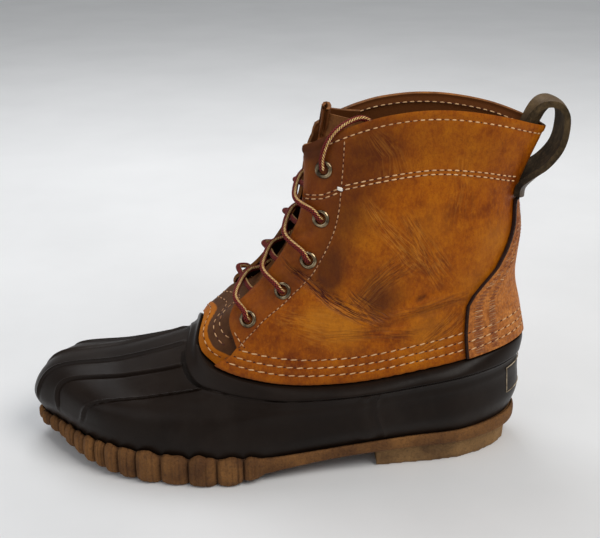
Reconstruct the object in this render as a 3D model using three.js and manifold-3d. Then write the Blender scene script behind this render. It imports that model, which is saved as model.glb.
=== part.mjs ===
// A laced duck boot for the left foot: a rubber shell on a lugged gum outsole, with a leather shaft
// sewn to the shell's rim, a gusset tongue, a back stay with a pull loop, eyelets and a cord lace.
// Millimetres. +Z is up, the toe points to -X and the outer side of the foot to -Y.
// The origin is on the floor, in the middle of the heel's tread.
import * as THREE from 'three';
import { mergeVertices } from 'three/addons/utils/BufferGeometryUtils.js';
import Module from 'manifold-3d';

const wasm = await Module();
wasm.setup();

// Driving dimensions

const length = 300; // from the back of the heel to the toe of the shell
const heelReach = 44; // from the origin back to the heel's end
const ballWidth = 109; // across the shell at the ball of the foot
const shellHeight = 73; // rim of the rubber shell at the back
const collarHeight = 215; // highest point of the shaft's collar
const clearance = 0.3; // between pieces that are glued, sewn or riveted together

const rubberWall = 2.6;
const wallBulge = 2.2; // how far the shell's side swells between sole and shoulder
const noseBulge = 8.5; // how much further it swells at the toe, out over the sole's edge
const topRise = 0.6; // how far the shell's top stands proud between shoulder and lip
const toeSag = 3.4; // how far the top of the toe dips between its front and the lip
const lipBackingFrom = 0.62; // share of the shell's height above which its wall grows behind the lip
const lipBacking = 22; // and by how much over the whole height
const bandStep = 1.1; // how far the lip round the shell's rim stands out
const flangeHeight = 17; // the thin part of the shell behind the leather
const flangeWall = 1.5;
const ribHeight = 1.1; // raised ribs on the toe and on the side
const leatherWall = 2.2;
const leatherInset = 0.6; // the leather lies this far inside the shell's lip
const tongueWall = 1.8;
const tongueFoot = 3; // the tongue's face below the quarters' face where it is sewn in
const tongueTop = 213; // height of the tongue's free end
const tongueCorner = 5; // how far the corners of that end are cut down
const stayWall = 1.7;

const eyestayStep = 0.5; // the eyestay is raised by this much
const eyeletFlange = 5;
const eyeletBore = 2.6;
const eyeletBarrel = 3.1;
const laceRadius = 1.65;

const strapWidth = 22;
const strapWall = 3.6;

const soleLip = 3.5; // how far the outsole's edge climbs up the shell
const soleEdge = 2.6; // how far it stands out from the shell
const lumpDepth = 2.8; // the rounded knuckles along the forefoot's edge
const soleBack = 0.25; // the outsole's hidden inner side, off the shell's foot
const treadDepth = 2.4;
const treadPitch = 10.5;
const treadGroove = 4.4;
const treadEdge = 6.5; // smooth margin round the tread
const padRadius = 9; // smooth round pads of the tread, where the boot rests
const ballCentre = -150;
const heelInset = 4; // the heel block's side behind the outsole's edge
const heelTaper = 0.8; // and how much further in it is at the floor
const heelBreast = -47;
const insoleWall = 3.5;
const insoleGap = 1.4; // round the insole

// Tables of the last. A row is a station round the foot, from the toe to the back of the heel.
// along is a share of length from the heel end, lateral and medial are shares of ballWidth
// from the heel's axis, and height is a share of shellHeight.

// where the shell meets the sole; tread is the height of the wear surface under it
const featherRows = [
  { along: 0.989, lateral: -0.083, medial: 0.083, height: 0.212, tread: 0.138 },
  { along: 0.94, lateral: 0.087, medial: 0.3, height: 0.225, tread: 0.118 },
  { along: 0.877, lateral: 0.28, medial: 0.4, height: 0.235, tread: 0.065 },
  { along: 0.797, lateral: 0.41, medial: 0.45, height: 0.235, tread: 0.015 },
  { along: 0.697, lateral: 0.477, medial: 0.459, height: 0.215, tread: 0 },
  { along: 0.597, lateral: 0.5, medial: 0.431, height: 0.205, tread: 0 },
  { along: 0.497, lateral: 0.463, medial: 0.367, height: 0.215, tread: 0.09 },
  { along: 0.38, lateral: 0.404, medial: 0.312, height: 0.24, tread: 0.145 },
  { along: 0.247, lateral: 0.353, medial: 0.312, height: 0.281, tread: 0.178 },
  { along: 0.13, lateral: 0.303, medial: 0.294, height: 0.3, tread: 0.19 },
  { along: 0.043, lateral: 0.165, medial: 0.165, height: 0.315, tread: 0.195 },
  { along: 0.011, lateral: 0, medial: 0, height: 0.322, tread: 0.197 },
];

// the shoulder of the shell, where its side turns over into its top
const crownRows = [
  { along: 0.96, lateral: -0.07, medial: 0.07, height: 0.708 },
  { along: 0.933, lateral: 0.12, medial: 0.29, height: 0.685 },
  { along: 0.86, lateral: 0.33, medial: 0.415, height: 0.612 },
  { along: 0.777, lateral: 0.422, medial: 0.463, height: 0.57 },
  { along: 0.687, lateral: 0.477, medial: 0.463, height: 0.541 },
  { along: 0.593, lateral: 0.5, medial: 0.431, height: 0.52 },
  { along: 0.493, lateral: 0.477, medial: 0.385, height: 0.52 },
  { along: 0.377, lateral: 0.44, medial: 0.353, height: 0.548 },
  { along: 0.247, lateral: 0.404, medial: 0.353, height: 0.603 },
  { along: 0.127, lateral: 0.344, medial: 0.33, height: 0.644 },
  { along: 0.035, lateral: 0.186, medial: 0.186, height: 0.671 },
  { along: 0.001, lateral: 0, medial: 0, height: 0.685 },
];

// the lower edge of the lip that runs round the shell under the leather
const lipRows = [
  { along: 0.673, lateral: 0, medial: 0, height: 1.034 },
  { along: 0.678, lateral: 0.216, medial: 0.212, height: 0.911 },
  { along: 0.655, lateral: 0.335, medial: 0.321, height: 0.795 },
  { along: 0.605, lateral: 0.394, medial: 0.376, height: 0.75 },
  { along: 0.55, lateral: 0.431, medial: 0.404, height: 0.723 },
  { along: 0.49, lateral: 0.454, medial: 0.417, height: 0.712 },
  { along: 0.427, lateral: 0.459, medial: 0.413, height: 0.719 },
  { along: 0.337, lateral: 0.454, medial: 0.408, height: 0.747 },
  { along: 0.24, lateral: 0.427, medial: 0.394, height: 0.795 },
  { along: 0.133, lateral: 0.376, medial: 0.358, height: 0.85 },
  { along: 0.04, lateral: 0.202, medial: 0.202, height: 0.85 },
  { along: 0.002, lateral: 0, medial: 0, height: 0.845 },
];

// the rim of the shell, where the leather starts
const rimRows = [
  { along: 0.648, lateral: 0, medial: 0, height: 1.151 },
  { along: 0.654, lateral: 0.193, medial: 0.193, height: 1.048 },
  { along: 0.632, lateral: 0.298, medial: 0.289, height: 0.932 },
  { along: 0.592, lateral: 0.349, medial: 0.335, height: 0.863 },
  { along: 0.543, lateral: 0.381, medial: 0.362, height: 0.822 },
  { along: 0.49, lateral: 0.399, medial: 0.376, height: 0.795 },
  { along: 0.427, lateral: 0.404, medial: 0.376, height: 0.788 },
  { along: 0.337, lateral: 0.394, medial: 0.367, height: 0.808 },
  { along: 0.24, lateral: 0.372, medial: 0.353, height: 0.87 },
  { along: 0.13, lateral: 0.321, medial: 0.312, height: 0.945 },
  { along: 0.037, lateral: 0.183, medial: 0.183, height: 0.993 },
  { along: -0.002, lateral: 0, medial: 0, height: 1 },
];

// Levels of the leather shaft above the rim. front and back are shares of length, lateral and
// medial half widths are shares of ballWidth, and the three heights are shares of collarHeight.
const shaftRows = [
  { front: 0.607, back: 0.012, lateral: 0.376, medial: 0.353, frontZ: 0.44, sideZ: 0.391, backZ: 0.428 },
  { front: 0.53, back: 0.026, lateral: 0.339, medial: 0.33, frontZ: 0.53, sideZ: 0.502, backZ: 0.521 },
  { front: 0.463, back: 0.0215, lateral: 0.312, medial: 0.303, frontZ: 0.679, sideZ: 0.665, backZ: 0.642 },
  { front: 0.443, back: 0.0265, lateral: 0.275, medial: 0.271, frontZ: 0.791, sideZ: 0.823, backZ: 0.763 },
  { front: 0.44, back: -0.018, lateral: 0.234, medial: 0.225, frontZ: 0.905, sideZ: 1, backZ: 0.93 },
];
const crestAlong = 0.5; // where a shaft level has its side height, as a share from its back

// The front edge of the quarters, as station numbers from the front at each share of the shaft
const throatRows = [
  { up: 0, station: 2.2 },
  { up: 0.03, station: 2.4 },
  { up: 0.075, station: 2.8 },
  { up: 0.115, station: 2.95 },
  { up: 0.15, station: 2.65 },
  { up: 0.21, station: 2 },
  { up: 0.28, station: 1.35 },
  { up: 0.38, station: 1.15 },
  { up: 0.52, station: 1.35 },
  { up: 0.66, station: 1.35 },
  { up: 0.8, station: 1.25 },
  { up: 0.93, station: 1.05 },
  { up: 1, station: 1.3 },
];
const medialTrim = 1.1; // the inner quarter's top corner lies this many stations further back

// The back edge of the eyestay, which tapers out below the lowest eyelet
const eyestayRows = [
  { up: 0.12, station: 3.05 },
  { up: 0.2, station: 3.35 },
  { up: 0.3, station: 3.4 },
  { up: 0.4, station: 3.5 },
  { up: 0.48, station: 3.85 },
  { up: 0.73, station: 4.05 },
  { up: 1, station: 3.95 },
];

// Eyelets from the lowest one up
const eyeletRows = [
  { up: 0.246, station: 2.73 },
  { up: 0.409, station: 2.95 },
  { up: 0.522, station: 3.27 },
  { up: 0.673, station: 3.07 },
  { up: 0.874, station: 2.89 },
];

// The tongue's half width in stations, and its depth below the quarters in lace radii
const tongueRows = [
  { up: 0, half: 3.2, depth: 4.2 },
  { up: 0.2, half: 3.3, depth: 4.2 },
  { up: 0.75, half: 3.7, depth: 4.4 },
  { up: 0.92, half: 4.2, depth: 5.4 },
  { up: 1.2, half: 5, depth: 8 },
];

// Half width of the back stay in stations
const stayRows = [
  { up: 0.012, half: 2 },
  { up: 0.2, half: 2.02 },
  { up: 0.34, half: 2.02 },
  { up: 0.385, half: 1.9 },
  { up: 0.425, half: 1.7 },
  { up: 0.48, half: 1.35 },
  { up: 0.55, half: 1.1 },
  { up: 0.66, half: 0.8 },
  { up: 0.755, half: 0.62 },
];

// The pull loop's centre line: up the shaft's back line, lift from it in strap widths, and wrap,
// which is how closely the strap follows the round of the shaft.
const loopRows = [
  { up: 0.768, lift: 0.11, wrap: 1 },
  { up: 0.81, lift: 0.115, wrap: 1 },
  { up: 0.855, lift: 0.24, wrap: 0.6 },
  { up: 0.9, lift: 0.4, wrap: 0.2 },
  { up: 0.955, lift: 0.47, wrap: 0 },
  { up: 1.01, lift: 0.4, wrap: 0 },
  { up: 1.055, lift: 0.2, wrap: 0 },
  { up: 1.07, lift: -0.05, wrap: 0.2 },
  { up: 1.05, lift: -0.24, wrap: 0.7 },
  { up: 1, lift: -0.3, wrap: 1 },
  { up: 0.9, lift: -0.29, wrap: 1 },
];

// The lace's outer end leaves the top eyelet, crosses the collar and hangs down inside the shaft.
// Its inner end is hidden, and stops at the top eyelet. lift is in lace radii.
const laceEndRows = [
  { up: 0.874, station: 2.89, lift: 1.85 },
  { up: 0.92, station: 2.85, lift: 1.9 },
  { up: 0.972, station: 3.1, lift: 1.7 },
  { up: 1.005, station: 3.5, lift: 1.3 },
  { up: 1.018, station: 4.1, lift: -0.2 },
  { up: 1.014, station: 4.7, lift: -2.2 },
  { up: 0.985, station: 5.2, lift: -3.8 },
  { up: 0.93, station: 5.6, lift: -4.2 },
  { up: 0.86, station: 5.85, lift: -4.2 },
];

// Toe ribs and upright side ribs by station number on each side
const toeRibs = [0.42, 1.12, 2.2];
const sideRibs = [7.25, 7.5];
const sideRibSlant = 0.5; // how many stations they lean over their height

// Knuckles of the outsole's edge by station on each side, and the station where they end
const knuckleStations = [
  0, 0.38, 0.74, 1.08, 1.42, 1.75, 2.08, 2.39, 2.65, 3.01, 3.43, 3.96, 4.51, 5.07, 5.54,
];
const knuckleEnd = 5.9;

const stations = 2 * (rimRows.length - 1);
const X = (along) => heelReach - along * length;
const V = (x, y, z) => new THREE.Vector3(x, y, z);
const mix = THREE.MathUtils.lerp;
const ramp = THREE.MathUtils.smoothstep;

// Curves and surfaces of the last

// A closed curve through a value for each station: down the lateral side and back up the medial one.
function closedCurve(rows, place) {
  const lateral = rows.map((row) => place(row, -1));
  const medial = rows.slice(1, -1).reverse().map((row) => place(row, 1));
  return new THREE.CatmullRomCurve3([...lateral, ...medial], true, 'catmullrom', 0.5);
}

const across = (row, side) => (side < 0 ? -row.lateral : row.medial) * ballWidth;
const tableLoop = (rows) =>
  closedCurve(rows, (row, side) => V(X(row.along), across(row, side), row.height * shellHeight));

const feather = tableLoop(featherRows);
const crown = tableLoop(crownRows);
const lip = tableLoop(lipRows);
const rim = tableLoop(rimRows);
const tread = closedCurve(featherRows, (row, side) =>
  V(X(row.along), across(row, side), row.tread * shellHeight));

// A level of the shaft spreads the rim's own outline over its front, back and half widths.
function shaftLoop(level) {
  const rimFront = rimRows[0].along;
  const rimBack = rimRows.at(-1).along;
  const rimLateral = Math.max(...rimRows.map((row) => row.lateral));
  const rimMedial = Math.max(...rimRows.map((row) => row.medial));
  return closedCurve(rimRows, (row, side) => {
    const share = (row.along - rimBack) / (rimFront - rimBack);
    const width = side < 0
      ? (-level.lateral * row.lateral) / rimLateral
      : (level.medial * row.medial) / rimMedial;
    const forward = Math.max(0, (share - crestAlong) / (1 - crestAlong)) ** 2;
    const backward = Math.max(0, (crestAlong - share) / crestAlong) ** 2;
    const height = level.sideZ
      + (level.frontZ - level.sideZ) * forward
      + (level.backZ - level.sideZ) * backward;
    return V(X(mix(level.back, level.front, share)), width * ballWidth, height * collarHeight);
  });
}

// A surface through loops: u runs round the boot from the front centre, v up through the loops.
function surfaceThrough(loops) {
  return (u, v) => {
    const column = new THREE.CatmullRomCurve3(loops.map((loop) => loop(u)), false, 'catmullrom', 0.5);
    if (v <= 1) return column.getPoint(Math.max(v, 0));
    const top = column.getPoint(1);
    const slope = top.clone().sub(column.getPoint(0.96)).divideScalar(0.04);
    return top.addScaledVector(slope, v - 1);
  };
}

// The outward normal of a surface, from points a small step away.
function normalOf(surface, u, v) {
  const step = 0.002;
  const along = surface(u + step, v).sub(surface(u - step, v));
  const up = surface(u, v + step).sub(surface(u, Math.max(0, v - step)));
  return up.cross(along).normalize().negate();
}

const offset = (surface, u, v, distance) =>
  surface(u, v).addScaledVector(normalOf(surface, u, v), distance);

const wrap = (u) => u - Math.floor(u);
const on = (loop) => (u) => loop.getPoint(wrap(u));
const outwards = (loop) => (u) => {
  const tangent = on(loop)(u + 0.002).sub(on(loop)(u - 0.002));
  return V(tangent.y, -tangent.x, 0).normalize();
};

const leather = surfaceThrough([on(rim), ...shaftRows.map((level) => on(shaftLoop(level)))]);

// The shell's outer surface climbs from the feather over the crown to the rim.
const frontness = (u) => Math.min(wrap(u), 1 - wrap(u)) * stations;
const bulgeAt = (u) => wallBulge + noseBulge * (1 - ramp(frontness(u), 0, 2.2));
const shellWall = (u) =>
  on(feather)(u).lerp(on(crown)(u), 0.5).addScaledVector(outwards(crown)(u), bulgeAt(u));
const shellSlope = (u) => {
  const sag = toeSag * (1 - ramp(frontness(u), 0, 3.5));
  return on(crown)(u).lerp(on(lip)(u), 0.5).add(V(0, 0, topRise - sag));
};
const shell = surfaceThrough([on(feather), shellWall, on(crown), shellSlope, on(lip), on(rim)]);
const shellBand = 4 / 5; // v of the band's edge on the shell's surface

// Reads a table at a value of its first column, straight between its rows.
function readTable(rows, key, at, value) {
  const next = rows.findIndex((row) => row[key] >= at);
  if (next < 0) return rows.at(-1)[value];
  if (next === 0) return rows[0][value];
  const [low, high] = [rows[next - 1], rows[next]];
  return mix(low[value], high[value], (at - low[key]) / (high[key] - low[key]));
}

// The quarters' front edge, as u of the outer side
const throatAt = (up, side = -1) => {
  const trim = side < 0 ? 0 : medialTrim * ramp(up, 0.8, 1);
  return (readTable(throatRows, 'up', up, 'station') + trim) / stations;
};

// Solids

// Makes a closed mesh of vertices and faces, turned so that its faces point out.
function closedMesh(vertices, faces) {
  const volume = faces.reduce((sum, [a, b, c]) =>
    sum + vertices[a].dot(vertices[b].clone().cross(vertices[c])), 0);
  const index = volume < 0 ? faces.map(([a, b, c]) => [a, c, b]) : faces;
  const geometry = new THREE.BufferGeometry().setFromPoints(vertices);
  geometry.setIndex(index.flat());
  return geometry;
}

const quad = (a, b, c, d) => [[a, b, c], [a, c, d]];

// A hollow ring: rows of closed loops, the last row joined back to the first.
function ringSolid(rows) {
  const n = rows[0].length;
  const faces = rows.flatMap((row, r) => row.flatMap((point, k) => {
    const below = ((r + 1) % rows.length) * n;
    return quad(r * n + k, r * n + (k + 1) % n, below + (k + 1) % n, below + k);
  }));
  return closedMesh(rows.flat(), faces);
}

// A plate: rows of closed loops, the first and last one closed by strips across the foot.
function plateSolid(rows) {
  const n = rows[0].length;
  const faces = rows.slice(1).flatMap((row, r) => row.flatMap((point, k) =>
    quad(r * n + k, r * n + (k + 1) % n, (r + 1) * n + (k + 1) % n, (r + 1) * n + k)));
  const cap = (base, turned) => {
    for (let k = 0; k < n / 2; k++) {
      const [a, b] = [base + k, base + k + 1];
      const [c, d] = [base + ((n - k - 1) % n), base + ((n - k) % n)];
      const strip = [[a, b, c], [a, c, d]].filter(([p, q, r]) => p !== q && q !== r && p !== r);
      faces.push(...strip.map(([p, q, r]) => (turned ? [p, r, q] : [p, q, r])));
    }
  };
  cap(0, true);
  cap((rows.length - 1) * n, false);
  return closedMesh(rows.flat(), faces);
}

// A sheet with a wall: two grids of equal size, joined along their four edges.
function sheetSolid(outer, inner) {
  const [rows, columns] = [outer.length, outer[0].length];
  const at = (side, r, k) => side * rows * columns + r * columns + k;
  const faces = [];
  for (let r = 0; r < rows - 1; r++)
    for (let k = 0; k < columns - 1; k++) {
      faces.push(...quad(at(0, r, k), at(0, r, k + 1), at(0, r + 1, k + 1), at(0, r + 1, k)));
      faces.push(...quad(at(1, r, k), at(1, r + 1, k), at(1, r + 1, k + 1), at(1, r, k + 1)));
    }
  for (let k = 0; k < columns - 1; k++) {
    faces.push(...quad(at(0, 0, k), at(1, 0, k), at(1, 0, k + 1), at(0, 0, k + 1)));
    const r = rows - 1;
    faces.push(...quad(at(0, r, k), at(0, r, k + 1), at(1, r, k + 1), at(1, r, k)));
  }
  for (let r = 0; r < rows - 1; r++) {
    faces.push(...quad(at(0, r, 0), at(0, r + 1, 0), at(1, r + 1, 0), at(1, r, 0)));
    const k = columns - 1;
    faces.push(...quad(at(0, r, k), at(1, r, k), at(1, r + 1, k), at(0, r + 1, k)));
  }
  return closedMesh([...outer.flat(), ...inner.flat()], faces);
}

const gridOf = (rows, columns, place) =>
  Array.from({ length: rows + 1 }, (_, r) =>
    Array.from({ length: columns + 1 }, (__, k) => place(r / rows, k / columns)));

function toManifold(geometry) {
  const bare = geometry.clone();
  bare.deleteAttribute('normal');
  bare.deleteAttribute('uv');
  const merged = mergeVertices(bare, 1e-3);
  return new wasm.Manifold(new wasm.Mesh({
    numProp: 3,
    vertProperties: merged.attributes.position.array,
    triVerts: new Uint32Array(merged.index.array),
  }));
}

function fromManifold(solid) {
  const mesh = solid.getMesh();
  const geometry = new THREE.BufferGeometry();
  geometry.setAttribute('position', new THREE.BufferAttribute(mesh.vertProperties, mesh.numProp));
  return geometry.setIndex(new THREE.BufferAttribute(mesh.triVerts, 1));
}

// Rubber shell

// Columns round the shell: even steps, with close ones at each rib.
const ribHalf = 0.0042;
const ribStations = [...toeRibs, ...sideRibs].flatMap((s) => [s, stations - s]);
const shellColumns = (() => {
  const steps = stations * 2;
  const even = Array.from({ length: steps }, (_, k) => k / steps)
    .filter((u) => !ribStations.some((s) => Math.abs(s / stations - u) < ribHalf * 1.6));
  const close = ribStations.flatMap((s) => [-1, 0, 1].map((side) => s / stations + side * ribHalf));
  return [...even, ...close].sort((a, b) => a - b);
})();

function ribAt(u, v) {
  const near = (s) => 1 - ramp(Math.abs(frontness(u) - s) / stations, ribHalf * 0.4, ribHalf);
  const toe = Math.max(...toeRibs.map(near)) * ramp(v, 0.2, 0.34) * (1 - ramp(v, 0.76, 0.8));
  const side = Math.max(...sideRibs.map(near)) * ramp(v, 0.02, 0.1) * (1 - ramp(v, 0.74, 0.8));
  return ribHeight * Math.max(toe, side);
}

// The shell's columns lean with the side ribs.
function lean(u, v) {
  const near = 1 - Math.min(1, Math.abs(frontness(u) - (sideRibs[0] + sideRibs[1]) / 2) / 2);
  const shift = (near * near * sideRibSlant * (0.5 - v)) / stations;
  return wrap(u) < 0.5 ? u + shift : u - shift;
}

// The flange behind the leather steps in further where the tongue lies between them.
const tongueHalf = tongueRows[0].half;
function footDip(u, up) {
  const edge = throatAt(up) * stations;
  return tongueFoot * Math.max(ramp(frontness(u), edge - 0.9, edge - 0.15), ramp(up, 0.05, 0.2));
}
// The tongue keeps its sewn depth up to the first of these levels, and hangs free from the second.
const tongueFree = [0.22, 0.34];
function tongueDepth(u, up) {
  const free = readTable(tongueRows, 'up', up, 'depth') * laceRadius;
  return mix(footDip(u, up), free, ramp(up, tongueFree[0], tongueFree[1]));
}
function flangeDepth(u, up) {
  const narrowest = throatRows[5].up;
  const behindTongue = tongueDepth(u, Math.max(up, narrowest));
  const underTongue = leatherInset + behindTongue + tongueWall + 3 * clearance;
  const underLeather = leatherInset + leatherWall + 2 * clearance;
  return mix(underTongue, underLeather, ramp(frontness(u), tongueHalf + 0.3, tongueHalf + 1.2));
}

function rubberShell() {
  const row = (place) => shellColumns.map(place);
  const outerRows = [0, 0.11, 0.22, 0.34, 0.47, 0.63, 0.79]
    .map((v) => row((u) => offset(shell, lean(u, v), v, ribAt(u, v))));
  const bandRows = [[shellBand + 0.005, bandStep], [0.9, bandStep * 1.3], [0.985, bandStep * 0.8]]
    .map(([v, out]) => row((u) => offset(shell, u, v, out)));
  const rise = (u) => flangeHeight / leather(u, 0.2).distanceTo(leather(u, 0)) * 0.2;
  const behind = (share, depth) => row((u) => {
    const up = share * rise(u) + 0.001;
    return offset(leather, u, up, -flangeDepth(u, up) - depth);
  });
  const flangeRows = [behind(0, 0), behind(1, 0), behind(1, flangeWall), behind(0, flangeWall)];
  const innerRows = [0.84, 0.5, 0.2, 0]
    .map((v) => {
      const wall = Math.max(rubberWall, (v - lipBackingFrom) * lipBacking);
      return row((u) => offset(shell, u, v, -wall));
    });
  return ringSolid([...outerRows, ...bandRows, ...flangeRows, ...innerRows]);
}

// Outsole, heel and insole

// A knuckle has a column on each shoulder, and one in the gap to the next knuckle.
const knuckleGaps = knuckleStations.map((at, k) => mix(at, knuckleStations[k + 1] ?? knuckleEnd, 0.5));
const soleColumns = (() => {
  const forefoot = knuckleStations.flatMap((at, k) => {
    const next = knuckleStations[k + 1] ?? knuckleEnd;
    return [0.32, 0.5, 0.68].map((share) => mix(at, next, share));
  });
  const rear = Array.from({ length: 9 }, (_, k) => mix(Math.ceil(knuckleEnd), stations / 2, k / 9));
  const side = [...forefoot, ...rear].map((s) => s / stations);
  return [0, ...side, 0.5, ...side.map((u) => 1 - u).reverse()];
})();
const lumpFade = (u) => 1 - ramp(frontness(u), 5.4, knuckleEnd);
const lump = (u) => {
  const inGap = knuckleGaps.some((gap) => Math.abs(frontness(u) - gap) < 1e-6);
  return inGap ? 0 : lumpFade(u);
};

const coarseColumns = Array.from({ length: stations * 2 }, (_, k) => k / stations / 2);

// A loop that follows the shell's foot, moved out and set to a height.
function soleLoop(height, out, columns = soleColumns) {
  return columns.map((u) => {
    const edge = on(feather)(u).addScaledVector(outwards(feather)(u), out(u));
    return edge.setZ(height(u));
  });
}
const shellFoot = (u) => on(feather)(u).z;
const treadHeight = (u) => Math.max(0, on(tread)(u).z);
const lipTop = (u) => shellFoot(u) + soleLip * (0.35 + 0.65 * lumpFade(u)) * (0.7 + 0.3 * lump(u));

// Wavy channels across the tread, as solids that reach up from under the floor.
function treadChannels(from, to) {
  const waves = 6;
  const reach = ballWidth * 0.6;
  const channels = [];
  for (let x = from; x < to; x += treadPitch) {
    const side = (shift) => Array.from({ length: waves + 1 }, (_, k) =>
      new THREE.Vector2(
        x + shift + (k % 2 ? 1 : -1) * treadPitch * 0.2,
        mix(-reach, reach, k / waves),
      ));
    const shape = new THREE.Shape([...side(-treadGroove / 2), ...side(treadGroove / 2).reverse()]);
    const bar = new THREE.ExtrudeGeometry(shape, { depth: shellHeight, bevelEnabled: false });
    channels.push(toManifold(bar.translate(0, 0, -4 * treadDepth)));
  }
  return channels;
}

// Cuts the channels into a body, inside a margin and clear of a round pad.
function cutTread(body, margin, channels, padX) {
  const pad = new THREE.CylinderGeometry(padRadius, padRadius, 4 * treadDepth, 16);
  const smooth = toManifold(pad.rotateX(Math.PI / 2).translate(padX, 0, 0));
  return channels.reduce((left, channel) =>
    left.subtract(margin.intersect(channel).subtract(smooth)), body);
}

function outsole() {
  const edge = (u) => soleEdge + lumpDepth * lump(u);
  const side = (share, out) => soleLoop((u) => mix(treadHeight(u), lipTop(u), share), (u) => edge(u) * out);
  const inside = (u) => clearance + 2 * soleBack + mix(wallBulge, bulgeAt(u), 0.25) / 2;
  const body = plateSolid([
    soleLoop((u) => shellFoot(u) - clearance, () => clearance + soleBack),
    soleLoop((u) => lipTop(u) - clearance, inside),
    side(0.97, 0.9),
    side(0.5, 1.06),
    side(0, 0.72),
  ]);
  const margin = plateSolid([
    soleLoop((u) => treadHeight(u) + treadDepth, () => soleEdge - treadEdge, coarseColumns),
    soleLoop((u) => treadHeight(u) - 4 * treadDepth, () => soleEdge - treadEdge, coarseColumns),
  ]);
  return fromManifold(cutTread(
    toManifold(body), toManifold(margin), treadChannels(X(0.955), X(0.55)), ballCentre));
}

// The heel's outline follows the outsole, set in all round and cut square at the breast.
function heelRow(inset, height) {
  const breast = heelBreast - heelInset + inset;
  const placed = coarseColumns.map((u) => ({
    u,
    p: on(feather)(u).addScaledVector(outwards(feather)(u), soleEdge - inset),
  }));
  const kept = placed.filter(({ p }) => p.x > breast + heelInset);
  const corner = (inside, outside) => {
    const share = (breast - inside.p.x) / (outside.p.x - inside.p.x);
    return { u: mix(inside.u, outside.u, share), p: inside.p.clone().lerp(outside.p, share) };
  };
  const before = placed[placed.indexOf(kept[0]) - 1];
  const after = placed[placed.indexOf(kept.at(-1)) + 1];
  return [corner(kept[0], before), ...kept, corner(kept.at(-1), after)]
    .map(({ u, p }) => p.setZ(height(u)));
}

function heelBlock() {
  const body = prism(
    heelRow(heelInset, (u) => treadHeight(u) - clearance),
    heelRow(heelInset + heelTaper, () => 0));
  const margin = prism(
    heelRow(heelInset + treadEdge, () => treadDepth), heelRow(heelInset + treadEdge, () => -treadDepth));
  return fromManifold(cutTread(
    toManifold(body), toManifold(margin), treadChannels(heelBreast + treadEdge + 3, X(0.03)), 0));
}

// A solid between two outlines of equal length, closed by flat-ish caps.
function prism(upper, lower) {
  const n = upper.length;
  const vertices = [...upper, ...lower];
  const faces = upper.flatMap((_, k) => quad(k, (k + 1) % n, n + ((k + 1) % n), n + k));
  for (let k = 0; k < Math.floor(n / 2); k++) {
    const [a, b, c, d] = [k, k + 1, n - 2 - k, n - 1 - k];
    const strip = [[a, b, c], [a, c, d]].filter((f) => new Set(f).size === 3 && b <= c);
    faces.push(...strip.map(([p, q, r]) => [p, r, q]));
    faces.push(...strip.map(([p, q, r]) => [n + p, n + q, n + r]));
  }
  return closedMesh(vertices, faces);
}

function insole() {
  const inset = -(rubberWall + insoleGap);
  return plateSolid([
    soleLoop((u) => shellFoot(u) + insoleWall, () => inset - clearance, coarseColumns),
    soleLoop((u) => shellFoot(u), () => inset, coarseColumns),
  ]);
}

// Leather shaft, tongue and back stay

const eyestayAt = (up) => readTable(eyestayRows, 'up', up, 'station') / stations;
const eyelets = eyeletRows.map(({ up, station }) => ({ up, u: station / stations }));

// Half a row of the leather, from the throat's edge to the back. The eyestay's part is raised.
const wideStations = [4.6, 5.5, 6.4, 7.4, 8.3, 8.9, 9.45, 10, 10.5];
function halfRow(up, side, depth) {
  const edge = throatAt(up, side);
  const stay = Math.max(eyestayAt(up), edge + 0.002);
  const raised = up < eyestayRows[0].up || depth > leatherWall ? 0 : eyestayStep;
  const front = [0, 0.33, 0.66, 1].map((share) => ({ u: mix(edge, stay, share), lift: raised }));
  const wide = [stay + 0.004, ...wideStations.map((s) => s / stations)].map((u) => ({ u, lift: 0 }));
  return [...front, ...wide]
    .map(({ u, lift }) => offset(leather, side < 0 ? u : 1 - u, up, lift - depth));
}

const quarterRow = (up, depth) => [
  ...halfRow(up, -1, depth),
  offset(leather, 0.5, up, -depth),
  ...halfRow(up, 1, depth).reverse(),
];

// The two sides of a pair of places: name, u of the outer side and of the inner side
const sides = [{ name: 'lateral', place: (u) => u }, { name: 'medial', place: (u) => 1 - u }];

// Turns a geometry made about +Z so that it stands on the leather at a place.
function standOnLeather(geometry, u, up, lift) {
  const normal = normalOf(leather, u, up);
  const turn = new THREE.Quaternion().setFromUnitVectors(V(0, 0, 1), normal);
  const at = offset(leather, u, up, lift);
  return geometry.applyQuaternion(turn).translate(at.x, at.y, at.z);
}

function quarters() {
  const ups = [
    0.009, 0.04, 0.08, 0.115, 0.122, 0.16, 0.22, 0.29, 0.385, 0.49, 0.6, 0.72, 0.82, 0.9, 1,
  ];
  const grid = (depth) => ups.map((up) => quarterRow(up, depth));
  const wall = toManifold(sheetSolid(grid(leatherInset), grid(leatherInset + leatherWall)));
  const holes = sides.flatMap(({ place }) => eyelets.map(({ u, up }) => {
    const drill = new THREE.CylinderGeometry(
      eyeletBarrel + clearance, eyeletBarrel + clearance, 4 * leatherWall, 8).rotateX(Math.PI / 2);
    return toManifold(standOnLeather(drill, place(u), up, -leatherInset));
  }));
  return fromManifold(holes.reduce((sum, hole) => sum.subtract(hole), wall));
}

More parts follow.
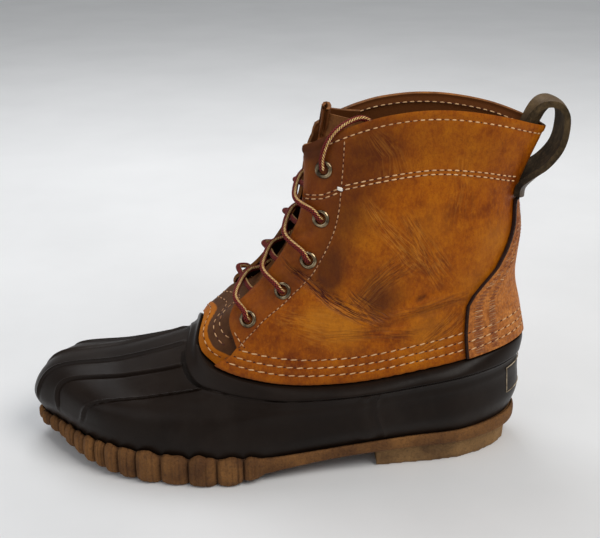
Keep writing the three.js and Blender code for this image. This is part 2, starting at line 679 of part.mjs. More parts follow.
// The tongue is sewn to the flange at its foot, lies under the quarters and stands free at its top.
function tongue() {
  const across = (up, k) => (mix(-1, 1, k) * readTable(tongueRows, 'up', up, 'half')) / stations;
  const topUp = (u) => {
    const rise = (leather(u, 1.1).z - leather(u, 1).z) / 0.1;
    const corner = tongueCorner * (frontness(u) / tongueRows.at(-1).half) ** 2;
    return 1 + (tongueTop - corner - leather(u, 1).z) / rise;
  };
  const grid = (depth) => gridOf(13, 12, (r, k) => {
    const level = mix(0.01, 1.14, r);
    const u = across(level, k);
    const up = level < 0.9 ? level : mix(0.9, topUp(u), (level - 0.9) / 0.24);
    return offset(leather, u, up, -leatherInset - tongueDepth(u, up) - depth);
  });
  return sheetSolid(grid(0), grid(tongueWall));
}

function backStay() {
  const grid = (lift) => stayRows.map(({ up, half }) =>
    Array.from({ length: 13 }, (_, k) =>
      offset(leather, 0.5 + mix(-half, half, k / 12) / stations, up, lift - leatherInset)));
  return sheetSolid(grid(stayWall + 2 * clearance), grid(2 * clearance));
}

// The strap of the pull loop: up the back, out, over the collar and down inside it.
function pullLoop() {
  const curve = new THREE.CatmullRomCurve3(
    loopRows.map(({ up, lift, wrap: w }) => V(up, lift * strapWidth, w)), false, 'catmullrom', 0.5);
  const halfTurn = (up) => strapWidth / 2 / leather(0.5, up).distanceTo(leather(0.501, up)) / 1000;
  const grid = (side) => gridOf(18, 4, (t, k) => {
    const q = 2 * k - 1;
    const { x: up, y: lift, z: w } = curve.getPoint(t);
    const ahead = curve.getPoint(Math.min(1, t + 0.01));
    const behind = curve.getPoint(Math.max(0, t - 0.01));
    const centre = offset(leather, 0.5, up, lift);
    const tangent = offset(leather, 0.5, ahead.x, ahead.y).sub(offset(leather, 0.5, behind.x, behind.y));
    const normal = V(tangent.z, 0, -tangent.x).normalize().multiplyScalar((side * strapWall) / 2);
    const free = centre.clone().add(normal).setY((q * strapWidth) / 2);
    const laid = offset(leather, 0.5 + q * halfTurn(up), up, lift).add(normal);
    return free.lerp(laid, w);
  });
  return sheetSolid(grid(1), grid(-1));
}

// Eyelets and lace

function eyelet({ u, up }, place) {
  const seat = clearance + eyestayStep;
  const profile = [
    [eyeletBore, seat + 0.7], [eyeletBore, -leatherWall * 0.6], [eyeletBarrel, -leatherWall * 0.6],
    [eyeletBarrel, seat], [eyeletFlange, seat], [eyeletFlange * 0.86, seat + 0.7], [eyeletBore, seat + 0.7],
  ].map(([r, z]) => new THREE.Vector2(r, z));
  const ring = new THREE.LatheGeometry(profile, 8).rotateX(Math.PI / 2);
  return standOnLeather(ring, place(u), up, -leatherInset);
}

function cordAlong(points, steps) {
  const curve = new THREE.CatmullRomCurve3(points, false, 'centripetal');
  const section = new THREE.Shape();
  section.absarc(0, 0, laceRadius, 0, 2 * Math.PI, false);
  const options = { steps, curveSegments: 3, bevelEnabled: false, extrudePath: curve };
  return new THREE.ExtrudeGeometry(section, options);
}

const overLeather = eyestayStep - leatherInset + clearance + laceRadius;
const overEyelet = overLeather + 1.35;
const underLeather = leatherInset + leatherWall + clearance + laceRadius;

// A strand comes out of one eyelet, crosses the throat and goes under the other quarter's edge.
function strand(from, to) {
  const climb = to.up - from.up;
  const at = (side, station, share, lift) =>
    offset(leather, side(station), from.up + climb * share, lift);
  const edge = (share) => throatAt(from.up + climb * share);
  return cordAlong([
    at(from.side, from.u, 0, overEyelet),
    at(from.side, mix(from.u, edge(0.1), 0.6), 0.12, overEyelet),
    at(from.side, edge(0.25), 0.26, overLeather + 1),
    at(from.side, edge(0.35) * 0.4, 0.42, 2.2),
    at(to.side, edge(0.65) * 0.45, 0.62, -0.6),
    at(to.side, edge(0.8) * 0.97, 0.8, -underLeather - 0.1),
    at(to.side, edge(0.85) + 0.008, 0.86, -underLeather - 0.15),
  ], 10);
}

// The two strands of a crossing are joined where they meet.
function crossing(k) {
  const [lateral, medial] = sides.map(({ place }) =>
    [k, k + 1].map((n) => ({ ...eyelets[n], side: place })));
  const rising = toManifold(strand(lateral[0], medial[1]));
  return fromManifold(rising.add(toManifold(strand(medial[0], lateral[1]))));
}

function laceEnd() {
  return cordAlong(laceEndRows.map(({ up, station, lift }) =>
    offset(leather, station / stations, up, lift * laceRadius)), 16);
}

// The boot

const finishes = {
  gum: new THREE.MeshStandardMaterial({ color: '#6b4526', roughness: 0.8, metalness: 0 }),
  rubber: new THREE.MeshStandardMaterial({ color: '#1d1512', roughness: 0.45, metalness: 0 }),
  leather: new THREE.MeshStandardMaterial({ color: '#9a5414', roughness: 0.5, metalness: 0 }),
  tongue: new THREE.MeshStandardMaterial({ color: '#5e3a1c', roughness: 0.6, metalness: 0 }),
  stay: new THREE.MeshStandardMaterial({ color: '#7a4322', roughness: 0.6, metalness: 0 }),
  insole: new THREE.MeshStandardMaterial({ color: '#4b3a2a', roughness: 0.9, metalness: 0 }),
  brass: new THREE.MeshStandardMaterial({ color: '#8a7a55', roughness: 0.35, metalness: 1 }),
  cord: new THREE.MeshStandardMaterial({ color: '#6d2f22', roughness: 0.8, metalness: 0 }),
};

const boot = new THREE.Group();
function add(name, geometry, finish) {
  const mesh = new THREE.Mesh(geometry, finish);
  mesh.name = name;
  boot.add(mesh);
}

add('outsole', outsole(), finishes.gum);
add('heel', heelBlock(), finishes.gum);
add('rubber_shell', rubberShell(), finishes.rubber);
add('insole', insole(), finishes.insole);
add('shaft', quarters(), finishes.leather);
add('tongue', tongue(), finishes.tongue);
add('back_stay', backStay(), finishes.stay);
add('pull_loop', pullLoop(), finishes.stay);
for (const { name, place } of sides)
  eyelets.forEach((at, k) => add(`eyelet_${name}_${k + 1}`, eyelet(at, place), finishes.brass));
for (let k = 0; k < eyelets.length - 1; k++)
  add(`lace_crossing_${k + 1}`, crossing(k), finishes.cord);
add('lace_end_lateral', laceEnd(), finishes.cord);

export default boot;
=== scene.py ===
import math

import bpy
import numpy as np
from mathutils import Matrix, Vector


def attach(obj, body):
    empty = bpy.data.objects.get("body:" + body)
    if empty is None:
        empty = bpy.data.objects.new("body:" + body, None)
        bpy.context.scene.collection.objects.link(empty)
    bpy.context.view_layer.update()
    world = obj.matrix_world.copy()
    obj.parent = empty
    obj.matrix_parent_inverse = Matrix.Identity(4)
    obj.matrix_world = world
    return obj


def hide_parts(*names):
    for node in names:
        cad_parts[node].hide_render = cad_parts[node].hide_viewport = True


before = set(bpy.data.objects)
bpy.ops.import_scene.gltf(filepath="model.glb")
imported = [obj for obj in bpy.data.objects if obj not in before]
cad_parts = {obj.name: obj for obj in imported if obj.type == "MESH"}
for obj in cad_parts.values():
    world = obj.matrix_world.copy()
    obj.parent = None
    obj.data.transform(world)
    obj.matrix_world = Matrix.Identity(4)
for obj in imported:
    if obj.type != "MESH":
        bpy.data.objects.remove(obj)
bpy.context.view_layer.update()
bpy.ops.object.select_all(action="DESELECT")
bpy.context.scene.view_settings.view_transform = "Standard"

# Camera, floor and light. The boot is seen from its outer side and a little from above, on a pale
# floor, under a wide soft light from the upper right and weaker ones from the left and from behind.
AZIMUTH, ELEVATION, ROLL = (math.radians(angle) for angle in (-1.1, 22.27, -0.38))
DISTANCE = 0.5983
TARGET = Vector((-0.09105, 0, 0.11376))

away = Vector((math.sin(AZIMUTH) * math.cos(ELEVATION),
               -math.cos(AZIMUTH) * math.cos(ELEVATION),
               math.sin(ELEVATION)))
level = Vector((math.cos(AZIMUTH), math.sin(AZIMUTH), 0))
right = math.cos(ROLL) * level + math.sin(ROLL) * away.cross(level)
turned = Matrix((right, away.cross(right), away)).transposed().to_4x4()
bpy.ops.object.camera_add()
camera = bpy.context.object
camera.data.lens = 60
camera.data.sensor_width = 36
camera.matrix_world = Matrix.Translation(TARGET + away * DISTANCE) @ turned
bpy.context.scene.camera = camera


def area_light(name, place, size, watts, colour):
    bpy.ops.object.light_add(type="AREA", location=place)
    light = bpy.context.object
    light.name = name
    light.data.size = size
    light.data.energy = watts
    light.data.color = colour
    light.rotation_euler = (TARGET - Vector(place)).to_track_quat("-Z", "Y").to_euler()


area_light("key_light", (0.55, -0.55, 1.15), 0.8, 11.5, (1, 0.97, 0.93))
area_light("fill_light", (-1.0, -0.75, 0.7), 1.0, 3.4, (0.93, 0.96, 1))
area_light("top_light", (-0.35, 0.55, 1.2), 0.8, 6.5, (0.97, 0.98, 1))

world = bpy.data.worlds.new("pale_room")
world.use_nodes = True
world.node_tree.nodes["Background"].inputs["Color"].default_value = (0.86, 0.88, 0.9, 1)
world.node_tree.nodes["Background"].inputs["Strength"].default_value = 0.37
bpy.context.scene.world = world


def node(tree, kind, inputs=None, **settings):
    made = tree.nodes.new(kind)
    for key, value in settings.items():
        setattr(made, key, value)
    for key, value in (inputs or {}).items():
        if isinstance(value, bpy.types.NodeSocket):
            tree.links.new(value, made.inputs[key])
        else:
            made.inputs[key].default_value = value
    return made


SOCKETS = {"colour": "Base Color", "normal": "Normal", "roughness": "Roughness", "metallic": "Metallic",
           "specular": "Specular IOR Level", "coat": "Coat Weight",
           "coat_roughness": "Coat Roughness", "sheen": "Sheen Weight"}


def new_material(name, **sockets):
    made = bpy.data.materials.new(name)
    made.use_nodes = True
    shader = made.node_tree.nodes["Principled BSDF"]
    for key, value in sockets.items():
        shader.inputs[SOCKETS[key]].default_value = value
    return made, made.node_tree, shader


def wire(shader, **sockets):
    for key, value in sockets.items():
        shader.id_data.links.new(value, shader.inputs[SOCKETS[key]])


def rgb(red, green, blue):
    return (red, green, blue, 1)


def noise(tree, place, scale, detail=3, roughness=0.55):
    return node(tree, "ShaderNodeTexNoise",
                {"Vector": place, "Scale": scale, "Detail": detail, "Roughness": roughness}).outputs[0]


def span(tree, value, low, high, to_low=0.0, to_high=1.0):
    return node(tree, "ShaderNodeMapRange", {
        "Value": value, "From Min": low, "From Max": high, "To Min": to_low, "To Max": to_high,
    }).outputs[0]


def blend(tree, share, first, second, kind="MIX"):
    return node(tree, "ShaderNodeMix", {0: share, 6: first, 7: second},
                data_type="RGBA", blend_type=kind).outputs[2]


def math_node(tree, kind, first, second=0.0):
    return node(tree, "ShaderNodeMath", {0: first, 1: second}, operation=kind).outputs[0]


def plus(tree, first, second):
    return math_node(tree, "ADD", first, second)


def times(tree, first, second):
    return math_node(tree, "MULTIPLY", first, second)


def object_place(tree, stretch=(1, 1, 1)):
    place = node(tree, "ShaderNodeTexCoord").outputs["Object"]
    return node(tree, "ShaderNodeMapping", {"Vector": place, "Scale": stretch}).outputs[0]


bpy.ops.mesh.primitive_plane_add(size=8)
floor = bpy.context.object
floor.name = "floor"
floor_paint, tree, shader = new_material("floor_paint", roughness=0.6)
# The floor is painted darker towards the camera and lighter behind the boot, as painted shade, with a faint
# random tone over it.
across_floor = node(tree, "ShaderNodeSeparateXYZ", {0: object_place(tree)}).outputs[1]
floor_shade_and_tone = plus(tree, span(tree, across_floor, -0.3, 0.6, 0, 0.85),
                 span(tree, noise(tree, object_place(tree), 6, 4), 0.3, 0.7, 0, 0.15))
wire(shader, colour=blend(tree, floor_shade_and_tone, rgb(0.6, 0.605, 0.61), rgb(0.99, 0.995, 1.0)))
floor.data.materials.append(floor_paint)

# The last. Every piece is shaped over one wooden form, so all take their place from the same loops
# round the foot. Each row of a table is a station from the toe to the back of the heel, the same on
# both sides: its place along the boot, the two half widths and the height, as shares.
LENGTH = 0.300
HEEL_REACH = 0.044
BALL_WIDTH = 0.109
SHELL_HEIGHT = 0.073
COLLAR_HEIGHT = 0.215
STATIONS = 22
CLEARANCE = 0.0003

FEATHER = [
    (0.989, -0.083, 0.083, 0.212), (0.94, 0.087, 0.3, 0.225), (0.877, 0.28, 0.4, 0.235),
    (0.797, 0.41, 0.45, 0.235), (0.697, 0.477, 0.459, 0.215), (0.597, 0.5, 0.431, 0.205),
    (0.497, 0.463, 0.367, 0.215), (0.38, 0.404, 0.312, 0.24), (0.247, 0.353, 0.312, 0.281),
    (0.13, 0.303, 0.294, 0.3), (0.043, 0.165, 0.165, 0.315), (0.011, 0, 0, 0.322)]
CROWN = [
    (0.96, -0.07, 0.07, 0.708), (0.933, 0.12, 0.29, 0.685), (0.86, 0.33, 0.415, 0.612),
    (0.777, 0.422, 0.463, 0.57), (0.687, 0.477, 0.463, 0.541), (0.593, 0.5, 0.431, 0.52),
    (0.493, 0.477, 0.385, 0.52), (0.377, 0.44, 0.353, 0.548), (0.247, 0.404, 0.353, 0.603),
    (0.127, 0.344, 0.33, 0.644), (0.035, 0.186, 0.186, 0.671), (0.001, 0, 0, 0.685)]
LIP = [
    (0.673, 0, 0, 1.034), (0.678, 0.216, 0.212, 0.911), (0.655, 0.335, 0.321, 0.795),
    (0.605, 0.394, 0.376, 0.75), (0.55, 0.431, 0.404, 0.723), (0.49, 0.454, 0.417, 0.712),
    (0.427, 0.459, 0.413, 0.719), (0.337, 0.454, 0.408, 0.747), (0.24, 0.427, 0.394, 0.795),
    (0.133, 0.376, 0.358, 0.85), (0.04, 0.202, 0.202, 0.85), (0.002, 0, 0, 0.845)]
RIM = [
    (0.648, 0, 0, 1.151), (0.654, 0.193, 0.193, 1.048), (0.632, 0.298, 0.289, 0.932),
    (0.592, 0.349, 0.335, 0.863), (0.543, 0.381, 0.362, 0.822), (0.49, 0.399, 0.376, 0.795),
    (0.427, 0.404, 0.376, 0.788), (0.337, 0.394, 0.367, 0.808), (0.24, 0.372, 0.353, 0.87),
    (0.13, 0.321, 0.312, 0.945), (0.037, 0.183, 0.183, 0.993), (-0.002, 0, 0, 1)]
TREAD_HEIGHTS = [0.138, 0.118, 0.065, 0.015, 0, 0, 0.09, 0.145, 0.178, 0.19, 0.195, 0.197]

# Levels of the shaft: front, back, outer and inner half width, heights at front, side and back.
SHAFT = [
    (0.607, 0.012, 0.376, 0.353, 0.44, 0.391, 0.428),
    (0.53, 0.026, 0.339, 0.33, 0.53, 0.502, 0.521),
    (0.463, 0.0215, 0.312, 0.303, 0.679, 0.665, 0.642),
    (0.443, 0.0265, 0.275, 0.271, 0.791, 0.823, 0.763),
    (0.44, -0.018, 0.234, 0.225, 0.905, 1, 0.93)]
CREST = 0.5  # from here a level's height runs up to its front and its back


def catmull(a, b, c, d, t):
    t = t[..., None]
    return b + 0.5 * t * (c - a + t * (2 * a - 5 * b + 4 * c - d + t * (3 * (b - c) + d - a)))


def closed_curve(rows, place):
    sides = [place(row, -1) for row in rows] + [place(row, 1) for row in rows[-2:0:-1]]
    points = np.array(sides)

    def at(u):
        along = (np.asarray(u, float) % 1) * len(points)
        k = np.floor(along).astype(int)
        picked = [points[(k + step) % len(points)] for step in (-1, 0, 1, 2)]
        return catmull(*picked, along - k)
    return at


def table_loop(rows):
    return closed_curve(rows, lambda row, side: (
        HEEL_REACH - row[0] * LENGTH,
        (-row[1] if side < 0 else row[2]) * BALL_WIDTH,
        row[3] * SHELL_HEIGHT))


def shaft_loop(row):
    front, back, lateral, medial, front_z, side_z, back_z = row
    widest = [max(r[1] for r in RIM), max(r[2] for r in RIM)]

    def place(rim_row, side):
        share = (rim_row[0] - RIM[-1][0]) / (RIM[0][0] - RIM[-1][0])
        width = (-lateral * rim_row[1] / widest[0] if side < 0 else medial * rim_row[2] / widest[1])
        forward = max(0, (share - CREST) / (1 - CREST)) ** 2
        backward = max(0, (CREST - share) / CREST) ** 2
        height = side_z + (front_z - side_z) * forward + (back_z - side_z) * backward
        return (HEEL_REACH - (back + (front - back) * share) * LENGTH,
                width * BALL_WIDTH, height * COLLAR_HEIGHT)
    return closed_curve(RIM, place)


def surface_through(loops):
    def inside(u, v):
        rings = np.array([loop(u) for loop in loops])
        rings = np.concatenate([2 * rings[:1] - rings[1:2], rings, 2 * rings[-1:] - rings[-2:-1]])
        along = np.clip(v, 0, 1) * (len(loops) - 1)
        k = np.minimum(np.floor(along).astype(int), len(loops) - 2)
        n = np.arange(len(u))
        return catmull(*[rings[k + step, n] for step in range(4)], along - k)

    def at(u, v):
        u, v = (np.array(a, float).ravel() for a in np.broadcast_arrays(u, v))
        slope = (inside(u, np.ones_like(v)) - inside(u, np.full_like(v, 0.96))) / 0.04
        return inside(u, v) + slope * np.maximum(v - 1, 0)[:, None]
    return at


def unit(vectors):
    return vectors / np.linalg.norm(vectors, axis=-1, keepdims=True)


def normal_of(surface, u, v):
    step = 0.002
    u, v = (np.array(a, float).ravel() for a in np.broadcast_arrays(u, v))
    along = surface(u + step, v) - surface(u - step, v)
    up = surface(u, v + step) - surface(u, np.maximum(v - step, 0))
    return unit(np.cross(along, up))


def off(surface, u, v, distance):
    return surface(u, v) + normal_of(surface, u, v) * np.ravel(distance)[:, None]


def outwards(loop, u):
    tangent = loop(u + 0.002) - loop(u - 0.002)
    return unit(np.stack([tangent[:, 1], -tangent[:, 0], 0 * tangent[:, 0]], 1))


def ease(value, low, high):
    t = np.clip((np.asarray(value, float) - low) / (high - low), 0, 1)
    return t * t * (3 - 2 * t)


def frontness(u):
    u = np.asarray(u, float) % 1
    return np.minimum(u, 1 - u) * STATIONS


def mirrored(u, side):
    return u if side < 0 else 1 - u


feather, crown, lip, rim = (table_loop(rows) for rows in (FEATHER, CROWN, LIP, RIM))
leather = surface_through([rim] + [shaft_loop(row) for row in SHAFT])

THROAT = np.array([
    (0, 2.2), (0.03, 2.4), (0.075, 2.8), (0.115, 2.95), (0.15, 2.65), (0.21, 2), (0.28, 1.35),
    (0.38, 1.15), (0.52, 1.35), (0.66, 1.35), (0.8, 1.25), (0.93, 1.05), (1, 1.3)])
MEDIAL_TRIM = 1.1


def throat_at(up, side=-1):
    up = np.asarray(up, float)
    trim = 0 if side < 0 else MEDIAL_TRIM * ease(up, 0.8, 1)
    return (np.interp(up, THROAT[:, 0], THROAT[:, 1]) + trim) / STATIONS


# The lace. One round braided lace, maroon with a line of gold flecks, runs up through brass eyelets:
# out of one, across the throat over the edge, and under the other quarter to the next eyelet. Its
# outer end leaves the top eyelet, turns over the collar and hangs inside the shaft.
LACE_RADIUS = 0.00165
LEATHER_WALL = 0.0022
LEATHER_INSET = 0.0006
EYESTAY_STEP = 0.0005
EYELETS = [(0.246, 2.73), (0.409, 2.95), (0.522, 3.27), (0.673, 3.07), (0.874, 2.89)]
LACE_END = [
    (0.874, 2.89, 1.85), (0.92, 2.85, 1.9), (0.972, 3.1, 1.7), (1.005, 3.5, 1.3),
    (1.018, 4.1, -0.2), (1.014, 4.7, -2.2), (0.985, 5.2, -3.8), (0.93, 5.6, -4.2),
    (0.86, 5.85, -4.2)]
LACE_SIDES = 14
STRAND_STEPS, END_STEPS = 54, 56
STRIPE_SIDE = (0.35, -0.78, 0.52)  # the lace lies with its gold line this way


def points_of(piece):
    flat = np.empty(len(piece.data.vertices) * 3)
    piece.data.vertices.foreach_get("co", flat)
    return flat.reshape(-1, 3)


def laid_sheet(name, columns, rows, place):
    """A flat grid, each point of which is laid where place(s, t) says, s and t from 0 to 1."""
    bpy.ops.object.select_all(action="DESELECT")
    bpy.ops.mesh.primitive_grid_add(x_subdivisions=columns, y_subdivisions=rows, size=2)
    piece = bpy.context.object
    piece.name = piece.data.name = name
    flat = points_of(piece)
    laid = place((flat[:, 0] + 1) / 2, (flat[:, 1] + 1) / 2)
    piece.data.vertices.foreach_set("co", laid.ravel())
    piece.data.update()
    return piece


def grid_shares(columns, rows):
    """The shares s and t of a grid's points, in the order of its vertices."""
    return (np.tile(np.linspace(0, 1, columns + 1), rows + 1),
            np.repeat(np.linspace(0, 1, rows + 1), columns + 1))


def pick(*pieces):
    """Selects these pieces alone, the first one active."""
    bpy.ops.object.select_all(action="DESELECT")
    for piece in pieces:
        piece.select_set(True)
    bpy.context.view_layer.objects.active = pieces[0]


def close_seams(piece, cap=False):
    """Joins edges that lie on each other, and caps what is still open."""
    bpy.ops.object.mode_set(mode="EDIT")
    bpy.ops.mesh.select_all(action="SELECT")
    bpy.ops.mesh.remove_doubles(threshold=1e-5)
    if cap:
        bpy.ops.mesh.fill_holes(sides=0)
    bpy.ops.mesh.select_all(action="SELECT")
    bpy.ops.mesh.normals_make_consistent(inside=False)
    bpy.ops.object.mode_set(mode="OBJECT")
    bpy.ops.object.shade_smooth()


def scale_uv(piece, across, along):
    uv = piece.data.uv_layers[0].data
    flat = np.empty(len(uv) * 2)
    uv.foreach_get("uv", flat)
    flat = flat.reshape(-1, 2) * (across, along)
    uv.foreach_set("uv", flat.ravel())


def smooth_route(points, steps):
    """A smooth curve through points, walked at even distance, and its length."""
    points = np.array(points)
    ends = np.concatenate([2 * points[:1] - points[1:2], points, 2 * points[-1:] - points[-2:-1]])
    fine = np.linspace(0, len(points) - 1, 24 * len(points))
    k = np.minimum(fine.astype(int), len(points) - 2)
    dense = catmull(*[ends[k + step] for step in range(4)], fine - k)
    walked = np.concatenate([[0], np.cumsum(np.linalg.norm(np.diff(dense, axis=0), axis=1))])
    even = np.linspace(0, walked[-1], steps + 1)
    return np.stack([np.interp(even, walked, dense[:, axis]) for axis in range(3)], 1), walked[-1]


def cord_frames(line):
    tangent = unit(np.gradient(line, axis=0))
    side = np.zeros_like(line)
    start = STRIPE_SIDE - tangent[0] * (tangent[0] @ STRIPE_SIDE)
    side[0] = unit(start)
    for k in range(1, len(line)):
        pulled = side[k - 1] + 0.25 * np.array(STRIPE_SIDE)
        carried = pulled - tangent[k] * (pulled @ tangent[k])
        side[k] = unit(carried)
    return side, np.cross(tangent, side)


def cord_piece(name, route, steps, radius):
    line, length = smooth_route(route, steps)
    side, other = cord_frames(line)

    def place(s, t):
        k = np.rint(t * steps).astype(int)
        turn = 2 * np.pi * s
        ring = side[k] * np.cos(turn)[:, None] + other[k] * np.sin(turn)[:, None]
        return line[k] + ring * radius
    piece = laid_sheet(name, LACE_SIDES, steps, place)
    scale_uv(piece, 1, length / (2 * math.pi * radius))
    close_seams(piece, cap=True)
    return piece, line, length


def bump(tree, height, distance, strength=1.0, under=None):
    inputs = {"Height": height, "Distance": distance, "Strength": strength}
    if under is not None:
        inputs["Normal"] = under
    return node(tree, "ShaderNodeBump", inputs).outputs[0]


def uv_of(tree):
    return node(tree, "ShaderNodeSeparateXYZ", {0: node(tree, "ShaderNodeTexCoord").outputs["UV"]})


lace_cord, tree, shader = new_material("lace_braid", roughness=0.75, specular=0.15)
around, along = uv_of(tree).outputs[:2]
plait = [math_node(tree, "SINE", math_node(tree, "ADD",
         times(tree, around, sign * 2 * math.pi * 7),
         times(tree, along, 2 * math.pi * 6.5))) for sign in (1, -1)]
weave = math_node(tree, "MAXIMUM", *plait)
facing = math_node(tree, "COSINE", times(tree, around, 2 * math.pi))
stripe = span(tree, facing, 0.87, 0.96)
fleck = times(tree, stripe, span(tree, plait[0], -0.7, 0.1))
# Painted shade: the braid's low places between its strands are painted near black, over the maroon of the
# lace.
ground = blend(tree, span(tree, weave, 0.1, 0.9), rgb(0.02, 0.003, 0.004), rgb(0.24, 0.026, 0.018))
gold = blend(tree, span(tree, noise(tree, object_place(tree), 900), 0.35, 0.65),
             rgb(0.6, 0.32, 0.08), rgb(1.0, 0.74, 0.34))
wire(shader, colour=blend(tree, fleck, ground, gold), normal=bump(tree, weave, 0.00035, 0.8))

over_leather = EYESTAY_STEP - LEATHER_INSET + CLEARANCE + LACE_RADIUS
under_leather = LEATHER_INSET + LEATHER_WALL + CLEARANCE + LACE_RADIUS


def lace_point(side, station, up, lift):
    return off(leather, mirrored(station / STATIONS, side), up, lift)[0]


route = [lace_point(-1, station, up, lift * LACE_RADIUS) for up, station, lift in LACE_END]
lace_end, line, length = cord_piece("lace_free_end", route, END_STEPS, LACE_RADIUS)
lace_end.data.materials.append(lace_cord)
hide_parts("lace_end_lateral")
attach(lace_end, "root")
tuple(line[0])
[tuple(p) for p in line]


def strand(start, end, start_side, end_side):
    """From inside one eyelet, over the edge of its quarter and under the other to the next eyelet."""
    (up0, station0), (up1, station1) = start, end
    climb = up1 - up0

    def at(side, station, share, lift):
        return lace_point(side, station, up0 + climb * share, lift)

    def edge(share, side):
        return float(throat_at(up0 + climb * share, side)) * STATIONS
    over = 0.0014 * start_side
    return [
        at(start_side, station0 + 0.06, -0.05, -0.0028),
        at(start_side, station0, -0.01, 0.0002),
        at(start_side, station0 - 0.1, 0.05, over_leather + 0.0020),
        at(start_side, station0 * 0.75 + edge(0.2, start_side) * 0.25, 0.18, over_leather + 0.0026),
        at(start_side, edge(0.34, start_side) * 1.05, 0.33, over_leather + 0.0013),
        at(start_side, edge(0.4, start_side) * 0.4, 0.46, 0.0022 - over),
        at(end_side, edge(0.65, end_side) * 0.45, 0.62, -0.0006 - over),
        at(end_side, edge(0.8, end_side) * 0.97, 0.8, -under_leather - 0.0001),
        at(end_side, edge(0.9, end_side) * 0.5 + station1 * 0.5, 0.92, -under_leather - 0.0004),
        at(end_side, station1, 1.0, -under_leather - 0.0002)]


for k in range(len(EYELETS) - 1):
    tubes = [cord_piece(f"lace_{k}_{side}", strand(EYELETS[k], EYELETS[k + 1], side, -side),
                        STRAND_STEPS, LACE_RADIUS)[0] for side in (-1, 1)]
    pick(*tubes)
    bpy.ops.object.join()
    crossing = bpy.context.object
    crossing.name = f"lace_strands_{k + 1}"
    crossing.data.materials.append(lace_cord)
    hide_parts(f"lace_crossing_{k + 1}")
    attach(crossing, "root")

# The gum outsole. Moulded crepe rubber, with rounded knuckles that climb the forefoot's edge, a thin
# edge under the arch and heel, and wavy channels across the tread.
SOLE_LIP = 0.0035
SOLE_EDGE = 0.0026
LUMP_DEPTH = 0.0028
WALL_BULGE = 0.0022
NOSE_BULGE = 0.0085
SOLE_BACK = 0.00025
CREASE_DEPTH, FLUTE_DEPTH, CLEFT_RISE = 0.0007, 0.00022, 0.0012
TREAD_DEPTH = 0.0024
TREAD_PITCH = 0.0105
TREAD_GROOVE = 0.0044
TREAD_EDGE = 0.0065
PAD_RADIUS = 0.009
BALL_CENTRE = -0.150
KNUCKLES = np.array([
    0, 0.38, 0.74, 1.08, 1.42, 1.75, 2.08, 2.39, 2.65, 3.01, 3.43, 3.96, 4.51, 5.07, 5.54])
KNUCKLE_HEIGHTS = np.array([
    0.9, 0.85, 0.95, 0.85, 1, 0.88, 1, 0.88, 1, 0.9, 1.1, 1, 1.15, 1, 0.9])
KNUCKLE_FADES, KNUCKLE_END = 5.4, 5.9

tread = table_loop([row[:3] + (height,) for row, height in zip(FEATHER, TREAD_HEIGHTS)])


def knuckle_fade(u):
    return 1 - ease(frontness(u), KNUCKLE_FADES, KNUCKLE_END)


def knuckle(u):
    s = frontness(u)
    k = np.abs(s[:, None] - KNUCKLES[None]).argmin(1)
    gaps = np.diff(KNUCKLES, prepend=-KNUCKLES[1], append=KNUCKLE_END)
    half = np.where(s < KNUCKLES[k], gaps[k], gaps[k + 1]) / 2
    across = np.clip(np.abs(s - KNUCKLES[k]) / half, 0, 1)
    return np.sqrt(np.clip(1 - across ** 2.2, 0, 1)) * KNUCKLE_HEIGHTS[k] * knuckle_fade(u)


def knuckle_creases(u):
    """Two or three upright creases in each knuckle, at places of their own."""
    s = frontness(u)
    depth = 0 * s
    for k, middle in enumerate(KNUCKLES):
        reach = (KNUCKLES[k + 1] if k + 1 < len(KNUCKLES) else KNUCKLE_END) - middle
        for n, at in enumerate(((-0.2, 0.14), (-0.24, 0.02, 0.25), (-0.08, 0.22))[k % 3]):
            depth += (0.6 + 0.2 * n) * np.exp(-((s - middle - at * reach) / (0.05 * reach)) ** 2)
    return depth * knuckle_fade(u)


def bulge_at(u):
    return WALL_BULGE + NOSE_BULGE * (1 - ease(frontness(u), 0, 2.2))


def ripple(u, turns, seed):
    rng = np.random.default_rng(seed)
    total = 0 * u
    for n in range(5):
        total += math.sin(0.7 + n) * np.sin(2 * np.pi * (u * (turns + 3 * n) + rng.random()))
    return total / 2.2


SIDE_ROWS, BOTTOM_ROWS, UNDER_ROWS = 20, 34, 2
OUTSOLE_ROWS = SIDE_ROWS + BOTTOM_ROWS + UNDER_ROWS
OUTSOLE_COLUMNS = 900
FOREFOOT_SHARE = 0.4


def sole_u(s):
    """Columns stand closer round the forefoot."""
    forefoot = (KNUCKLE_END + 0.3) / STATIONS
    return np.interp(s, [0, FOREFOOT_SHARE, 1 - FOREFOOT_SHARE, 1], [0, forefoot, 1 - forefoot, 1])


CHANNELS = (HEEL_REACH - 0.955 * LENGTH, HEEL_REACH - 0.55 * LENGTH)


def channel_depth(x, y, first, last, pad_x):
    wave = np.abs(((y / (BALL_WIDTH * 0.3)) % 1) - 0.5) * 4 - 1
    offset = (x - first - wave * TREAD_PITCH * 0.2) / TREAD_PITCH
    across = np.abs(offset - np.rint(offset)) * TREAD_PITCH
    inside = (x > first - TREAD_PITCH / 2) & (x < last + TREAD_PITCH / 2)
    away_from_pad = ease(np.hypot(x - pad_x, y), PAD_RADIUS, PAD_RADIUS + 0.0012)
    depth = 1 - ease(across, TREAD_GROOVE / 2 - 0.0008, TREAD_GROOVE / 2 + 0.0005)
    return depth * inside * away_from_pad


